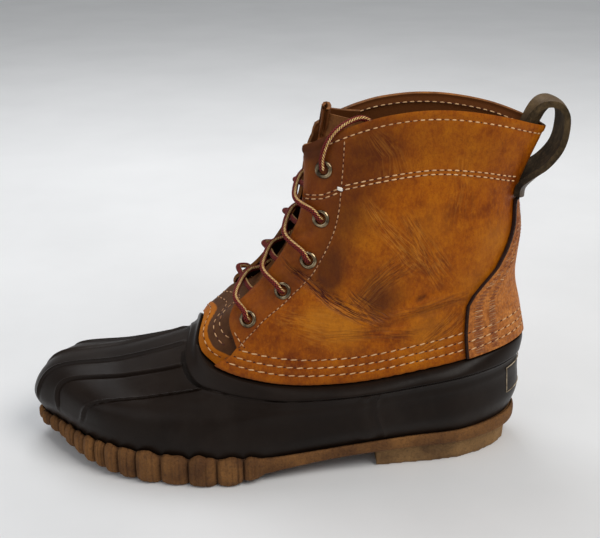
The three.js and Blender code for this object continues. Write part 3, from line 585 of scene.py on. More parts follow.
def place_outsole(s, t):
    row = np.rint(t * OUTSOLE_ROWS)
    s = sole_u(s)
    lump = knuckle(s)
    gap = np.clip(knuckle_fade(s) - lump, 0, 1)
    edge = SOLE_EDGE * (1 - 0.5 * gap) + LUMP_DEPTH * 1.15 * lump - CREASE_DEPTH * knuckle_creases(s)
    foot, ground = feather(s), tread(s)
    low = np.maximum(ground[:, 2], 0)
    top = foot[:, 2] + SOLE_LIP * (0.35 + 0.65 * knuckle_fade(s)) * (0.5 + 0.75 * lump * lump)
    top = top + 0.0004 * (ripple(s, 61, 3) - knuckle_creases(s)) * knuckle_fade(s)
    side = np.clip((row - UNDER_ROWS) / SIDE_ROWS, 0, 1)
    bottom = np.clip((row - UNDER_ROWS - SIDE_ROWS) / BOTTOM_ROWS, 0, 1)
    swell = np.interp(side, [0, 0.04, 0.12, 0.3, 0.55, 0.8, 0.93, 1],
                      [0.42, 0.72, 0.92, 1.04, 1.06, 1.0, 0.86, 0.66])
    out = edge * swell
    flute = FLUTE_DEPTH * np.sin(s * 2 * np.pi * 330 + 2 * ripple(s, 40, 8)) * knuckle_fade(s)
    out = out + flute * np.sin(np.pi * side)
    under = row < UNDER_ROWS
    behind = np.where(row == 0, SOLE_BACK,
                      2 * SOLE_BACK + (WALL_BULGE + (bulge_at(s) - WALL_BULGE) * 0.25) / 2)
    out = np.where(under, CLEARANCE + behind, out)
    height = np.where(under, np.where(row == 0, foot[:, 2] - CLEARANCE, top - 0.0004),
                      top + (low - top) * side)
    height = height + CLEFT_RISE * gap * ease(side, 0.6, 1) * (bottom == 0)
    place = foot + outwards(feather, s) * out[:, None]
    other = feather(1 - s) + outwards(feather, 1 - s) * (
        (SOLE_EDGE + LUMP_DEPTH * knuckle(1 - s)) * 0.7)[:, None]
    middle = (place + other) / 2
    place = place + (middle - place) * bottom[:, None]
    inwards = np.linalg.norm((middle - foot)[:, :2], axis=1) * bottom
    cut = channel_depth(place[:, 0], place[:, 1], *CHANNELS, BALL_CENTRE)
    cut = cut * ease(inwards, TREAD_EDGE - 0.001, TREAD_EDGE) * TREAD_DEPTH
    rounded = 0.0008 * (1 - ease(bottom * 30, 0, 1)) * (row >= UNDER_ROWS + SIDE_ROWS)
    place[:, 2] = height + np.where(bottom > 0, cut, 0) + rounded * (side >= 1) * 0.5
    return place


def mark(piece, name, values):
    made = piece.data.attributes.new(name, "FLOAT", "POINT")
    made.data.foreach_set("value", np.asarray(values, np.float32))


outsole = laid_sheet("gum_outsole", OUTSOLE_COLUMNS, OUTSOLE_ROWS, place_outsole)
u = sole_u(grid_shares(OUTSOLE_COLUMNS, OUTSOLE_ROWS)[0])
# The gaps between the knuckles and their creases, where the gum is painted dark as painted shade.
cleft_shade = np.clip(knuckle_fade(u) - knuckle(u), 0, 1) + 0.5 * knuckle_creases(u)
mark(outsole, "cleft_shade", np.clip(cleft_shade, 0, 1))
close_seams(outsole, cap=True)


def attribute(tree, name):
    return node(tree, "ShaderNodeAttribute", attribute_name=name).outputs["Fac"]


def gum_material(name, dark, light, dust):
    made, tree, shader = new_material(name, roughness=0.82, specular=0.3)
    place = object_place(tree)
    patches = span(tree, noise(tree, place, 45, 5, 0.6), 0.35, 0.68)
    grain = noise(tree, place, 700, 3, 0.6)
    upright = noise(tree, object_place(tree, (1, 1, 0.3)), 520, 3, 0.5)
    ground = blend(tree, patches, dark, light)
    ground = blend(tree, span(tree, upright, 0.45, 0.75, 0, 0.08), ground, dust)
    # Painted shade in the gaps between the knuckles and in their creases.
    cleft_shade_share = span(tree, attribute(tree, "cleft_shade"), 0.25, 0.95, 0, 0.85)
    ground = blend(tree, cleft_shade_share, ground, rgb(0.028, 0.01, 0.004))
    ground = blend(tree, span(tree, grain, 0.25, 0.5, 0.5, 0), ground, rgb(0.03, 0.014, 0.007))
    height = plus(tree, times(tree, upright, 0.8), grain)
    wire(shader, colour=ground, normal=bump(tree, height, 0.001, 0.8))
    return made


gum = gum_material("crepe_gum", rgb(0.085, 0.032, 0.008), rgb(0.22, 0.095, 0.024), rgb(0.3, 0.15, 0.05))
outsole.data.materials.append(gum)
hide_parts("outsole")
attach(outsole, "root")

# The heel block. A separate block of the same crepe, set in from the edge and scuffed grey by wear.
# It starts from the solid block, and its corners are rounded.
HEEL_GRAIN = 0.0011  # size of the steps in which the block is shaped


def copy_of(node_name, name):
    piece = bpy.data.objects.new(name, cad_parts[node_name].data.copy())
    bpy.context.scene.collection.objects.link(piece)
    piece.data.materials.clear()
    pick(piece)
    bpy.ops.object.mode_set(mode="EDIT")
    bpy.ops.mesh.select_all(action="SELECT")
    bpy.ops.mesh.remove_doubles(threshold=1e-6)
    bpy.ops.object.mode_set(mode="OBJECT")
    return piece


def modify(piece, kind, **settings):
    pick(piece)
    bpy.ops.object.modifier_add(type=kind)
    modifier = piece.modifiers[-1]
    for key, value in settings.items():
        setattr(modifier, key, value)
    bpy.ops.object.modifier_apply(modifier=modifier.name)


heel = copy_of("heel", "heel_block")
modify(heel, "REMESH", mode="VOXEL", voxel_size=HEEL_GRAIN)
modify(heel, "SMOOTH", factor=0.5, iterations=3)
bpy.ops.object.shade_smooth()
worn_gum = gum_material("worn_gum", rgb(0.12, 0.06, 0.022), rgb(0.3, 0.165, 0.06), rgb(0.42, 0.27, 0.12))
heel.data.materials.append(worn_gum)
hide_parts("heel")
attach(heel, "root")

# The rubber shell. One moulded bottom of dark brown rubber, with raised ribs over the toe, two slanted
# ribs on each side, and a lip round its rim that the leather is sewn to.
RUBBER_WALL = 0.0026
TOE_SAG = 0.0034
BAND_STEP = 0.0011
FLANGE_HEIGHT = 0.017
FLANGE_WALL = 0.0015
LIP_BACKING_FROM, LIP_BACKING = 0.62, 0.022  # above this share of its height the wall grows by so much
RIB_HEIGHT = 0.0013
TOE_RIBS = (0.42, 1.12, 2.2)  # the outermost one leans towards the toe
TOE_RIB_HALF, TOE_GROOVE_HALF = 0.0026, 0.0018  # half widths, as shares of the way round
SIDE_RIBS = (7.25, 7.5)
SIDE_RIB_HALVES = (0.0062, 0.0024)
SIDE_RIB_SLANT = 0.5
LIP_DIP, LIP_BEAD = 0.0006, 0.00035
TONGUE_WALL = 0.0018
TONGUE_FOOT = 0.003
TONGUE_HALF_AT_FOOT = 3.2
NARROWEST_UP = 0.21


def shell_wall(u):
    return (feather(u) + crown(u)) / 2 + outwards(crown, u) * bulge_at(u)[:, None]


def shell_slope(u):
    middle = (crown(u) + lip(u)) / 2
    middle[:, 2] += 0.0006 - TOE_SAG * (1 - ease(frontness(u), 0, 3.5))
    return middle


shell = surface_through([feather, shell_wall, crown, shell_slope, lip, rim])


def lean(u, v):
    near = 1 - np.minimum(1, np.abs(frontness(u) - sum(SIDE_RIBS) / 2) / 2)
    shift = near * near * SIDE_RIB_SLANT * (0.5 - v) / STATIONS
    return np.where(u % 1 < 0.5, u + shift, u - shift)


def ridge(u, station, half):
    return 1 - ease(np.abs(frontness(u) - station) / STATIONS, half * 0.25, half)


def shell_relief(u, v):
    lean_in = 0.15 - 0.75 * (1 - np.clip(v / 0.79, 0, 1))
    places = [station + lean_in * (station == TOE_RIBS[-1]) for station in TOE_RIBS]
    toe = np.max([ridge(u, place, TOE_RIB_HALF) for place in places], 0)
    grooves = np.max([ridge(u, place + 0.065, TOE_GROOVE_HALF) for place in places], 0)
    toe = (toe - 0.35 * grooves) * ease(v, 0.12, 0.26) * (1 - ease(v, 0.76, 0.795))
    wide = ridge(u, SIDE_RIBS[0], SIDE_RIB_HALVES[0]) * 0.75
    narrow = ridge(u, SIDE_RIBS[1], SIDE_RIB_HALVES[1]) * 0.8
    upright = np.maximum(wide, narrow) * ease(v, 0.02, 0.08) * (1 - ease(v, 0.74, 0.79))
    dip = LIP_DIP * (ease(v, 0.5, 0.66) - ease(v, 0.7, 0.79)) * ease(frontness(u), 3, 5)
    bead = LIP_BEAD * np.exp(-((v - 0.772) / 0.006) ** 2) * ease(frontness(u), 2.2, 3.2)
    return RIB_HEIGHT * (toe + upright) - dip + bead


def foot_dip(u, up):
    edge = throat_at(up) * STATIONS
    beside = ease(frontness(u), edge - 0.9, edge - 0.15)
    return TONGUE_FOOT * np.maximum(beside, ease(np.broadcast_to(up, beside.shape), 0.05, 0.2))


def flange_depth(u):
    under_tongue = LEATHER_INSET + foot_dip(u, NARROWEST_UP) + TONGUE_WALL + 3 * CLEARANCE
    beside = LEATHER_INSET + LEATHER_WALL + 2 * CLEARANCE
    share = ease(frontness(u), TONGUE_HALF_AT_FOOT + 0.3, TONGUE_HALF_AT_FOOT + 1.2)
    return under_tongue + (beside - under_tongue) * share


SHELL_COLUMNS = 616
outer_v = np.concatenate([np.linspace(0, 0.74, 62), np.linspace(0.748, 0.794, 9)])
band_rows = [(0.7975, 0.12), (0.8, 0.5), (0.8035, 0.85), (0.808, 1), (0.83, 1.08), (0.86, 1.18),
             (0.9, 1.28), (0.93, 1.26), (0.955, 1.1), (0.97, 0.95), (0.98, 0.8), (0.986, 0.6)]
SHELL_ROWS = (
    [("outer", v, 0) for v in outer_v]
    + [("band", v, share * BAND_STEP) for v, share in band_rows]
    + [("flange", share, 0) for share in (0, 0.35, 0.7, 1)]
    + [("flange", share, FLANGE_WALL) for share in (1, 0.7, 0.35, 0)]
    + [("inner", v, 0) for v in (0.84, 0.7, 0.55, 0.4, 0.25, 0.12, 0)])


def place_shell(s, t):
    row = np.rint(t * len(SHELL_ROWS)).astype(int) % len(SHELL_ROWS)
    place = np.empty((len(s), 3))
    for k, (kind, v, out) in enumerate(SHELL_ROWS):
        at = row == k
        u = s[at]
        v = np.full(u.shape, v)
        if kind == "outer":
            place[at] = off(shell, lean(u, v), v, shell_relief(u, v))
        elif kind == "band":
            place[at] = off(shell, u, v, np.full(u.shape, out))
        elif kind == "flange":
            run = np.linalg.norm(leather(u, 0.2) - leather(u, 0), axis=1)
            place[at] = off(leather, u, v * FLANGE_HEIGHT / run * 0.2 + 0.001, -flange_depth(u) - out)
        else:
            wall = max(RUBBER_WALL, (v[0] - LIP_BACKING_FROM) * LIP_BACKING)
            place[at] = off(shell, u, v, np.full(u.shape, -wall))
    return place


bottom = laid_sheet("rubber_bottom", SHELL_COLUMNS, len(SHELL_ROWS), place_shell)
scale_uv(bottom, SHELL_COLUMNS * 0.00115, len(SHELL_ROWS))
close_seams(bottom)
bpy.ops.object.shade_smooth_by_angle(angle=math.radians(50))

rubber, tree, shader = new_material("brown_rubber", roughness=0.42, specular=0.12)
place = object_place(tree)
cloud = noise(tree, place, 16, 4, 0.6)
fine = noise(tree, place, 260, 4, 0.65)
ground = blend(tree, span(tree, cloud, 0.35, 0.65), rgb(0.0075, 0.0043, 0.0028), rgb(0.014, 0.0085, 0.0058))
speck = node(tree, "ShaderNodeTexVoronoi", {"Vector": place, "Scale": 95, "Randomness": 1}).outputs[0]
dust = times(tree, span(tree, speck, 0.045, 0.02), span(tree, cloud, 0.55, 0.66))
film = span(tree, noise(tree, object_place(tree, (1, 1, 0.6)), 34, 6, 0.7), 0.5, 0.78, 0, 0.05)
ground = blend(tree, film, ground, rgb(0.12, 0.1, 0.085))
ground = blend(tree, times(tree, dust, 0.6), ground, rgb(0.4, 0.36, 0.3))
rough = plus(tree, span(tree, cloud, 0.3, 0.7, 0.3, 0.42), span(tree, fine, 0.3, 0.7, -0.04, 0.06))
split = uv_of(tree)
tick = math_node(tree, "SINE", times(tree, split.outputs[0], 2 * math.pi / 0.0011))
tick_row = times(tree, span(tree, split.outputs[1], 66.5, 67.2),
                     span(tree, split.outputs[1], 70.6, 70.0))
patchy = span(tree, noise(tree, place, 30, 2), 0.42, 0.52)
ticks = times(tree, times(tree, tick, tick_row), patchy)
skin = bump(tree, fine, 0.00008, 0.6)
wire(shader, colour=ground, roughness=rough, normal=bump(tree, ticks, 0.00045, 1, skin))
bottom.data.materials.append(rubber)
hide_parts("rubber_shell")
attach(bottom, "root")

# The heel patch. A blank oblong on the back of the shell, with nothing on it, that a thin raised
# line of paler rubber frames. The line is moulded with the shell and rubbed in places.
PATCH = np.array([(9.99, 0.25), (9.99, 0.6), (12.01, 0.6), (12.01, 0.25), (9.99, 0.25)])
PATCH_STEPS = 120
PATCH_LINE_RADIUS, PATCH_LINE_LIFT = 0.0003, 0.00012
steps = np.linspace(0, len(PATCH) - 1, PATCH_STEPS + 1)
corner_u, corner_v = (np.interp(steps, range(len(PATCH)), PATCH[:, axis]) for axis in (0, 1))
line = off(shell, corner_u / STATIONS, corner_v, PATCH_LINE_LIFT)


def place_patch(s, t):
    k = np.rint(t * PATCH_STEPS).astype(int) % PATCH_STEPS
    ahead = unit(line[(k + 1) % PATCH_STEPS] - line[k - 1])
    face = unit(np.stack([line[k, 0] + 0.05, line[k, 1], 0 * s], 1))
    ring = np.cross(ahead, face) * np.cos(2 * np.pi * s)[:, None] + face * np.sin(2 * np.pi * s)[:, None]
    return line[k] + ring * PATCH_LINE_RADIUS


patch = laid_sheet("heel_patch_line", 8, PATCH_STEPS, place_patch)
close_seams(patch)
pale_rubber, tree, shader = new_material("pale_rubber", roughness=0.7)
worn_off = span(tree, noise(tree, object_place(tree), 240), 0.35, 0.6)
wire(shader, colour=blend(tree, worn_off, rgb(0.14, 0.1, 0.06), rgb(0.5, 0.4, 0.27)))
patch.data.materials.append(pale_rubber)
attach(patch, "root")

# The insole. A brown felted board that is cut to the foot and lies loose in the shell, so only its
# top can be seen, down the shaft. It starts from the solid board, and its edges are rounded.
FELT_GRAIN = 0.0012
insole = copy_of("insole", "insole_board")
modify(insole, "REMESH", mode="VOXEL", voxel_size=FELT_GRAIN)
modify(insole, "SMOOTH", factor=0.5, iterations=3)
bpy.ops.object.shade_smooth()
felt, tree, shader = new_material("felt", roughness=0.95, sheen=0.2)
fibre = noise(tree, object_place(tree), 900, 5, 0.7)
ground = blend(tree, span(tree, fibre, 0.35, 0.65), rgb(0.05, 0.036, 0.025), rgb(0.13, 0.1, 0.072))
wire(shader, colour=ground, normal=bump(tree, fibre, 0.0006, 0.8))
insole.data.materials.append(felt)
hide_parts("insole")
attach(insole, "root")

# The leather shaft. Two quarters of waxed orange-tan leather, sewn at the back and open at the
# throat, with a darker facing along the eyelets. Folds have set where the ankle bends.
EYESTAY = np.array([
    (0.12, 3.05), (0.2, 3.35), (0.3, 3.4), (0.4, 3.5), (0.48, 3.85), (0.73, 4.05), (1, 3.95)])
SHAFT_FOOT = 0.009
SEWN_UP = 0.14
SEWN_ROWS, PLAIN_ROWS = 36, 108
SHAFT_COLUMNS = 236

# Folds set in the leather: half width and depth in metres, then the line as (station, up).
FOLDS = [
    (0.0024, 0.0019, [(2.2, 0.497), (3.3, 0.471), (4.3, 0.44), (5.1, 0.405), (5.8, 0.377), (6.3, 0.35)]),
    (0.0020, 0.0012, [(2.9, 0.505), (3.9, 0.477), (4.6, 0.452), (5.3, 0.42), (5.85, 0.395)]),
    (0.0026, 0.0010, [(5.9, 0.42), (6.46, 0.385), (6.8, 0.35), (7.13, 0.324)]),
    (0.0024, 0.0006, [(6.2, 0.643), (6.93, 0.566), (7.61, 0.503), (8.0, 0.476)]),
    (0.0030, -0.0009, [(6.46, 0.26), (6.92, 0.285), (7.37, 0.321), (7.92, 0.371), (8.45, 0.388),
                       (8.9, 0.399)]),
    (0.0024, 0.0008, [(6.7, 0.235), (7.3, 0.27), (7.9, 0.325), (8.5, 0.352), (8.95, 0.36)]),
    (0.0022, 0.0005, [(6.2, 0.21), (7.24, 0.212), (7.88, 0.217), (8.5, 0.24)]),
    (0.0020, 0.0007, [(1.5, 0.58), (2.19, 0.605), (2.9, 0.635)]),
    (0.0020, 0.0006, [(1.4, 0.4), (2.0, 0.42), (2.6, 0.455)])]
# Broad swells and hollows: station, up, radius and height in metres.
SWELLS = [
    (5.6, 0.47, 0.015, -0.0018), (7.0, 0.42, 0.014, -0.0008), (6.6, 0.30, 0.017, 0.0014),
    (7.2, 0.66, 0.02, 0.0008), (4.9, 0.66, 0.016, 0.0007), (8.0, 0.33, 0.012, 0.0008),
    (2.4, 0.35, 0.009, 0.0006), (9.6, 0.55, 0.014, -0.0006), (4.6, 0.31, 0.014, 0.0010)]


def reach_per_up(u, level=0.05):
    """Metres of leather to each unit of up, near a level."""
    return np.linalg.norm(leather(u, level + 0.05) - leather(u, level - 0.05), axis=1) / 0.1


# Three sets of fields of fine creases. A field has its half width and the spacing of its lines in
# metres, how dark the lines are, as painted shade in their grooves, and how light the skin between
# them, and its line as (station, up).
CREASES = [
    [(0.0055, 0.0014, 1.3, 0.35, [(2.2, 0.497), (3.3, 0.471), (4.3, 0.44), (5.1, 0.405), (5.8, 0.377),
                                  (6.25, 0.352), (6.9, 0.31)]),
     (0.0100, 0.0015, 0.25, 0.7, [(5.6, 0.72), (6.2, 0.65), (6.8, 0.59), (7.3, 0.545), (7.7, 0.51)]),
     (0.0100, 0.0016, 0.5, 0.3, [(8.15, 0.14), (8.45, 0.2), (8.67, 0.25), (8.9, 0.31)]),
     (0.0120, 0.0022, 0.15, 0.3, [(5.4, 0.95), (6.2, 0.88), (6.5, 0.8)])],
    [(0.0080, 0.0016, 0.75, 0.25, [(5.9, 0.43), (6.46, 0.385), (6.78, 0.351), (7.2, 0.315)]),
     (0.0110, 0.0016, 0.4, 0.55, [(6.9, 0.68), (7.4, 0.6), (7.9, 0.53), (8.4, 0.46)]),
     (0.0150, 0.0018, 0.15, 0.5, [(3.9, 0.29), (5.0, 0.28), (6.2, 0.26)]),
     (0.0110, 0.0019, 0.2, 0.3, [(8.3, 0.87), (8.5, 0.77), (8.4, 0.66)])],
    [(0.0110, 0.0018, 0.5, 0.3, [(6.3, 0.385), (6.55, 0.455), (6.85, 0.5), (7.2, 0.535)]),
     (0.0060, 0.0024, 0.4, 0.2, [(7.3, 0.33), (8.0, 0.352), (8.6, 0.382), (9.0, 0.392)]),
     (0.0080, 0.0026, 0.35, 0.2, [(5.7, 0.22), (6.6, 0.24), (7.2, 0.24), (7.8, 0.225), (8.1, 0.21)])]]


SPINE_POINTS = 60


def spine_of(marks, side, shift=0.0):
    marks = np.array(marks, float)
    steps = np.linspace(0, len(marks) - 1, SPINE_POINTS)
    station, up = (np.interp(steps, range(len(marks)), marks[:, axis]) for axis in (0, 1))
    return leather(mirrored((station + shift) / STATIONS, side), up)


def nearest_on(places, line):
    """Distance from each place to a line of points, and which point is nearest."""
    gap = np.linalg.norm(places[:, None] - line[None], axis=2)
    near = gap.argmin(1)
    return gap[np.arange(len(places)), near], near


def crease_field(u, up, fields):
    """Place across and along the creases in their own spacing, and how dark and light they are."""
    found = np.zeros((4, len(u)))
    for side in (-1, 1):
        here = np.flatnonzero((u % 1 < 0.5) if side < 0 else (u % 1 >= 0.5))
        places = leather(u[here], up[here])
        faces = normal_of(leather, u[here], up[here])
        best = np.zeros(len(here))
        for half, spacing, dark, light, marks in fields:
            spine = spine_of(marks, side)
            tangent = unit(np.gradient(spine, axis=0))
            gap, near = nearest_on(places, spine)
            away = places - spine[near]
            across = np.sum(np.cross(tangent[near], away) * faces, 1)
            step = np.linalg.norm(spine[1:] - spine[:-1], axis=1).mean()
            walked = near * step + np.sum(away * tangent[near], 1)
            share = walked / step / (SPINE_POINTS - 1)
            spread = 0.65 + 0.6 * np.clip(share, -0.2, 1.2)
            mask = 1 - ease(np.abs(across), 0.2 * half * spread, half * spread)
            mask = mask * ease(share, -0.2, 0.15) * (1 - ease(share, 0.75, 1.2)) * (gap < 2 * half)
            better = mask > best
            best[better] = mask[better]
            values = [across / (spacing * spread), walked / (spacing * 11), dark * mask, light * mask]
            found[:, here[better]] = np.array(values)[:, better]
    return found


def fold_relief(u, up):
    """Height that folds and swells give the leather, and painted shade in the troughs of its folds. The
    inner side folds less.
    """
    u = np.asarray(u, float) % 1
    height, dark = np.zeros(len(u)), np.zeros(len(u))
    for side, share, shift in ((-1, 1, 0), (1, 0.75, 0.25)):
        here = (u < 0.5) if side < 0 else (u >= 0.5)
        places = leather(u[here], up[here])
        for half, depth, marks in FOLDS:
            gap, near = nearest_on(places, spine_of(marks, side, shift))
            taper = np.sin(np.pi * np.clip(near / (SPINE_POINTS - 1), 0.02, 0.98)) ** 0.6
            trough = np.exp(-(gap / half) ** 2)
            banks = np.exp(-((gap - 2.1 * half) / half) ** 2)
            height[here] += share * depth * taper * (0.32 * banks - trough)
            if depth > 0:
                dark[here] += share * taper * trough * min(1, depth / 0.002)
        for station, level_up, radius, rise in SWELLS:
            centre = leather(mirrored((station + shift) / STATIONS, side), level_up)
            gap = np.linalg.norm(places - centre, axis=1)
            height[here] += share * rise * np.exp(-(gap / radius) ** 2)
    return height, np.minimum(dark, 1)


def eyestay_at(up):
    return np.interp(up, EYESTAY[:, 0], EYESTAY[:, 1]) / STATIONS


RIM_ROWS = (0.0056, 0.0106, 0.0156)
TOP_ROW = 0.0052
BAND_UPS = np.array([(3.0, 0.778), (4.03, 0.801), (5.91, 0.815), (7.47, 0.83), (8.83, 0.837),
                     (10.3, 0.84), (11, 0.84)])
BAND_GAP = 0.0023
ROW_DEPTH, BAND_DEPTH, COLLAR_ROLL = 0.0004, 0.0002, 0.0005


def rim_up(u, distance):
    return SHAFT_FOOT + distance / reach_per_up(u)


def band_up(u):
    return np.interp(frontness(u), BAND_UPS[:, 0], BAND_UPS[:, 1])


def shaft_height(u, up):
    """How far the leather's face stands off the last: facing, seams, roll and folds."""
    height, dark = fold_relief(u, up)
    s = frontness(u)
    stay = eyestay_at(up) * STATIONS
    upright = reach_per_up(u)
    facing = (1 - ease(s, stay - 0.1, stay + 0.12)) * ease(up, 0.1, 0.13)
    height = height + EYESTAY_STEP * 0.8 * facing
    for distance in RIM_ROWS:
        height -= ROW_DEPTH * np.exp(-((up - rim_up(u, distance)) * upright / 0.0009) ** 2)
    for shift in (0, BAND_GAP):
        from_row = (up - band_up(u)) * reach_per_up(u, 0.8) + shift
        height -= BAND_DEPTH * np.exp(-(from_row / 0.0010) ** 2) * (s > 2.6)
    from_top = (1 - up) * reach_per_up(u, 0.95)
    height -= ROW_DEPTH * np.exp(-((from_top - TOP_ROW) / 0.0010) ** 2)
    height += COLLAR_ROLL * np.exp(-((from_top - 0.0023) / 0.0022) ** 2)
    return height - LEATHER_INSET, dark, facing


def shaft_face(u, up, lift=0.0):
    return off(leather, u, up, shaft_height(u, up)[0] + lift)


run = np.linspace(0, 1, 1201)
ring = leather(run, np.full(run.shape, 0.35))
girth = np.concatenate([[0], np.cumsum(np.linalg.norm(np.diff(ring, axis=0), axis=1))])


def shaft_uv(s, t):
    share = SEWN_ROWS / (SEWN_ROWS + PLAIN_ROWS)
    up = np.where(t < share, SHAFT_FOOT + (SEWN_UP - SHAFT_FOOT) * t / share,
                  SEWN_UP + (1 - SEWN_UP) * (t - share) / (1 - share))
    first = np.interp(throat_at(up, -1), run, girth)
    last = np.interp(1 - throat_at(up, 1), run, girth)
    return np.interp(first + (last - first) * s, girth, run), up


CURL_FROM, CURL_TO, CURL_RADIUS = (0.7, 0.885), (2.75, 1.0), 0.0062


def curl_corner(places, u, up):
    """The outer quarter's top corner, which has curled outwards, seen from the front."""
    ends = [leather(station / STATIONS, height)[0] for station, height in (CURL_FROM, CURL_TO)]
    fold = unit(ends[1] - ends[0])
    face = normal_of(leather, 1.9 / STATIONS, 0.95)[0]
    outward = unit(np.cross(face, fold))
    outward = outward if outward[2] > 0 else -outward
    from_fold = (places - ends[0]) @ outward
    bent = (from_fold > 0) & (frontness(u) < 3.2) & (u % 1 < 0.5) & (up > 0.8)
    angle = np.clip(from_fold / CURL_RADIUS, 0, 1.25)
    rest = np.maximum(from_fold - angle * CURL_RADIUS, 0)
    flat = places - from_fold[:, None] * outward
    moved = (flat + (CURL_RADIUS * np.sin(angle) + rest * np.cos(angle))[:, None] * outward
             + (CURL_RADIUS * (1 - np.cos(angle)) + rest * np.sin(angle))[:, None] * face)
    return np.where(bent[:, None], moved, places)


def place_shaft(s, t):
    u, up = shaft_uv(s, t)
    ragged = 0.00015 * ripple(u, 90, 5) * ease(0.02 - up, 0, 0.011)
    return curl_corner(shaft_face(u, up + ragged / reach_per_up(u)), u, up)


# Stains and worn places, with painted shade round the main folds and over the upper front of the
# shaft, and painted highlights on the swells below the folds: station, up, radius in metres, and
# strength, which is below 0 for light.
STAINS_AND_PAINTED_LIGHT = [
    (4.35, 0.54, 0.011, 0.75), (4.5, 0.485, 0.008, 0.75), (5.0, 0.455, 0.008, 0.55),
    (3.0, 0.45, 0.009, 0.5), (6.6, 0.405, 0.010, 0.45), (7.0, 0.37, 0.010, 0.45),
    (6.5, 0.47, 0.011, 0.35), (7.2, 0.42, 0.010, 0.3), (4.3, 0.66, 0.014, 0.45),
    (4.6, 0.9, 0.022, 0.55), (5.8, 0.93, 0.022, 0.35), (4.6, 0.74, 0.018, 0.4),
    (7.6, 0.93, 0.02, 0.25), (9.0, 0.9, 0.02, 0.25), (6.4, 0.265, 0.012, -0.4),
    (5.3, 0.31, 0.010, -0.4), (7.6, 0.66, 0.016, -0.2), (9.5, 0.6, 0.014, -0.3),
    (8.2, 0.27, 0.016, -0.3), (9.2, 0.42, 0.014, -0.25), (7.85, 0.402, 0.0018, 1.0),
    (7.95, 0.41, 0.0014, 0.9), (2.6, 0.9, 0.008, 0.4), (1.5, 0.975, 0.006, 0.9),
    (2.1, 0.99, 0.005, 1.0), (2.7, 0.995, 0.005, 0.9)]
INNER_STAIN_AND_PAINTED_LIGHT = 0.6  # the inner side gets the stains and painted light this much as strongly

shaft = laid_sheet("leather_shaft", SHAFT_COLUMNS, SEWN_ROWS + PLAIN_ROWS, place_shaft)
u, up = shaft_uv(*grid_shares(SHAFT_COLUMNS, SEWN_ROWS + PLAIN_ROWS))
_, dark, facing = shaft_height(u, up)
stain_and_painted_light = np.zeros(len(u))
for station, level_up, radius, strength in STAINS_AND_PAINTED_LIGHT:
    for side in (-1, 1):
        centre = leather(mirrored(station / STATIONS, side), level_up)
        gap = np.linalg.norm(leather(u, up) - centre, axis=1)
        stain_and_painted_light += strength * np.exp(-(gap / radius) ** 2) * (1 if side < 0 else INNER_STAIN_AND_PAINTED_LIGHT)
mark(shaft, "fold", dark)
mark(shaft, "facing", facing)
mark(shaft, "stain_and_painted_light", np.clip(stain_and_painted_light, -1, 1))
mark(shaft, "rise", up)
for n, fields in enumerate(CREASES):
    for name, values in zip(("across", "along", "dark", "light"), crease_field(u, up, fields)):
        mark(shaft, f"crease_{name}_{n}", values)


def leather_material(name, light, middle, deep, gloss=0.42):
    made, tree, shader = new_material(name, specular=0.13, coat=0.02, coat_roughness=0.3)
    place = object_place(tree)
    patches = noise(tree, place, 26, 5, 0.6)
    mottle = noise(tree, place, 120, 4, 0.62)
    creases = noise(tree, object_place(tree, (1, 1, 0.3)), 230, 5, 0.7)
    pores = noise(tree, place, 1500, 3, 0.6)
    net = math_node(tree, "ABSOLUTE", math_node(tree, "SUBTRACT", noise(tree, place, 330, 4, 0.65), 0.5))
    tone = plus(tree, times(tree, patches, 0.62),
                     times(tree, mottle, 0.38))
    ramp = node(tree, "ShaderNodeValToRGB", {0: tone})
    first, last = ramp.color_ramp.elements
    first.position, first.color = 0.36, deep
    last.position, last.color = 0.66, light
    ramp.color_ramp.elements.new(0.5).color = middle
    ground = ramp.outputs[0]
    ground = blend(tree, span(tree, creases, 0.56, 0.74, 0, 0.3), ground, light)
    ground = blend(tree, span(tree, creases, 0.44, 0.3, 0, 0.35), ground, deep)
    ground = blend(tree, span(tree, net, 0.03, 0.0, 0, 0.4), ground, deep)
    grain = noise(tree, object_place(tree, (1, 1, 0.55)), 640, 3, 0.6)
    ground = blend(tree, span(tree, grain, 0.52, 0.72, 0, 0.42), ground, light)
    ground = blend(tree, span(tree, grain, 0.46, 0.28, 0, 0.4), ground, deep)
    hair = noise(tree, object_place(tree, (1, 1, 0.16)), 300, 2, 0.4)
    hair = math_node(tree, "ABSOLUTE", math_node(tree, "SUBTRACT", hair, 0.5))
    hair = times(tree, span(tree, hair, 0.006, 0.0), span(tree, patches, 0.5, 0.62))
    ground = blend(tree, times(tree, hair, 0.5), ground, light)
    return made, tree, shader, ground, patches, creases, pores, gloss


def crease_lines(tree, n, name, seed, width):
    """Fine broken lines that run along one set of crease fields."""
    across, along = (attribute(tree, f"crease_{way}_{n}") for way in ("across", "along"))
    run = node(tree, "ShaderNodeCombineXYZ", {0: across, 1: along, 2: seed}).outputs[0]
    from_line = math_node(tree, "ABSOLUTE", math_node(tree, "SUBTRACT", noise(tree, run, 1, 2, 0.45), 0.5))
    line = span(tree, from_line, 0.0, width, 1, 0)
    return times(tree, line, attribute(tree, f"crease_{name}_{n}"))


def finish_leather(tree, shader, ground, patches, creases, pores, gloss, lines=None):
    rough = plus(tree, span(tree, patches, 0.3, 0.7, gloss - 0.07, gloss + 0.1),
                 span(tree, creases, 0.35, 0.65, 0.05, -0.03))
    skin = bump(tree, creases, 0.0009, 0.55, bump(tree, pores, 0.00018, 0.6))
    if lines is not None:
        skin = bump(tree, lines, -0.0006, 0.7, skin)
    wire(shader, colour=ground, roughness=rough, normal=skin)


def plain_leather(*made_as):
    made, tree, shader, ground, *rest = leather_material(*made_as)
    finish_leather(tree, shader, ground, *rest)
    return made


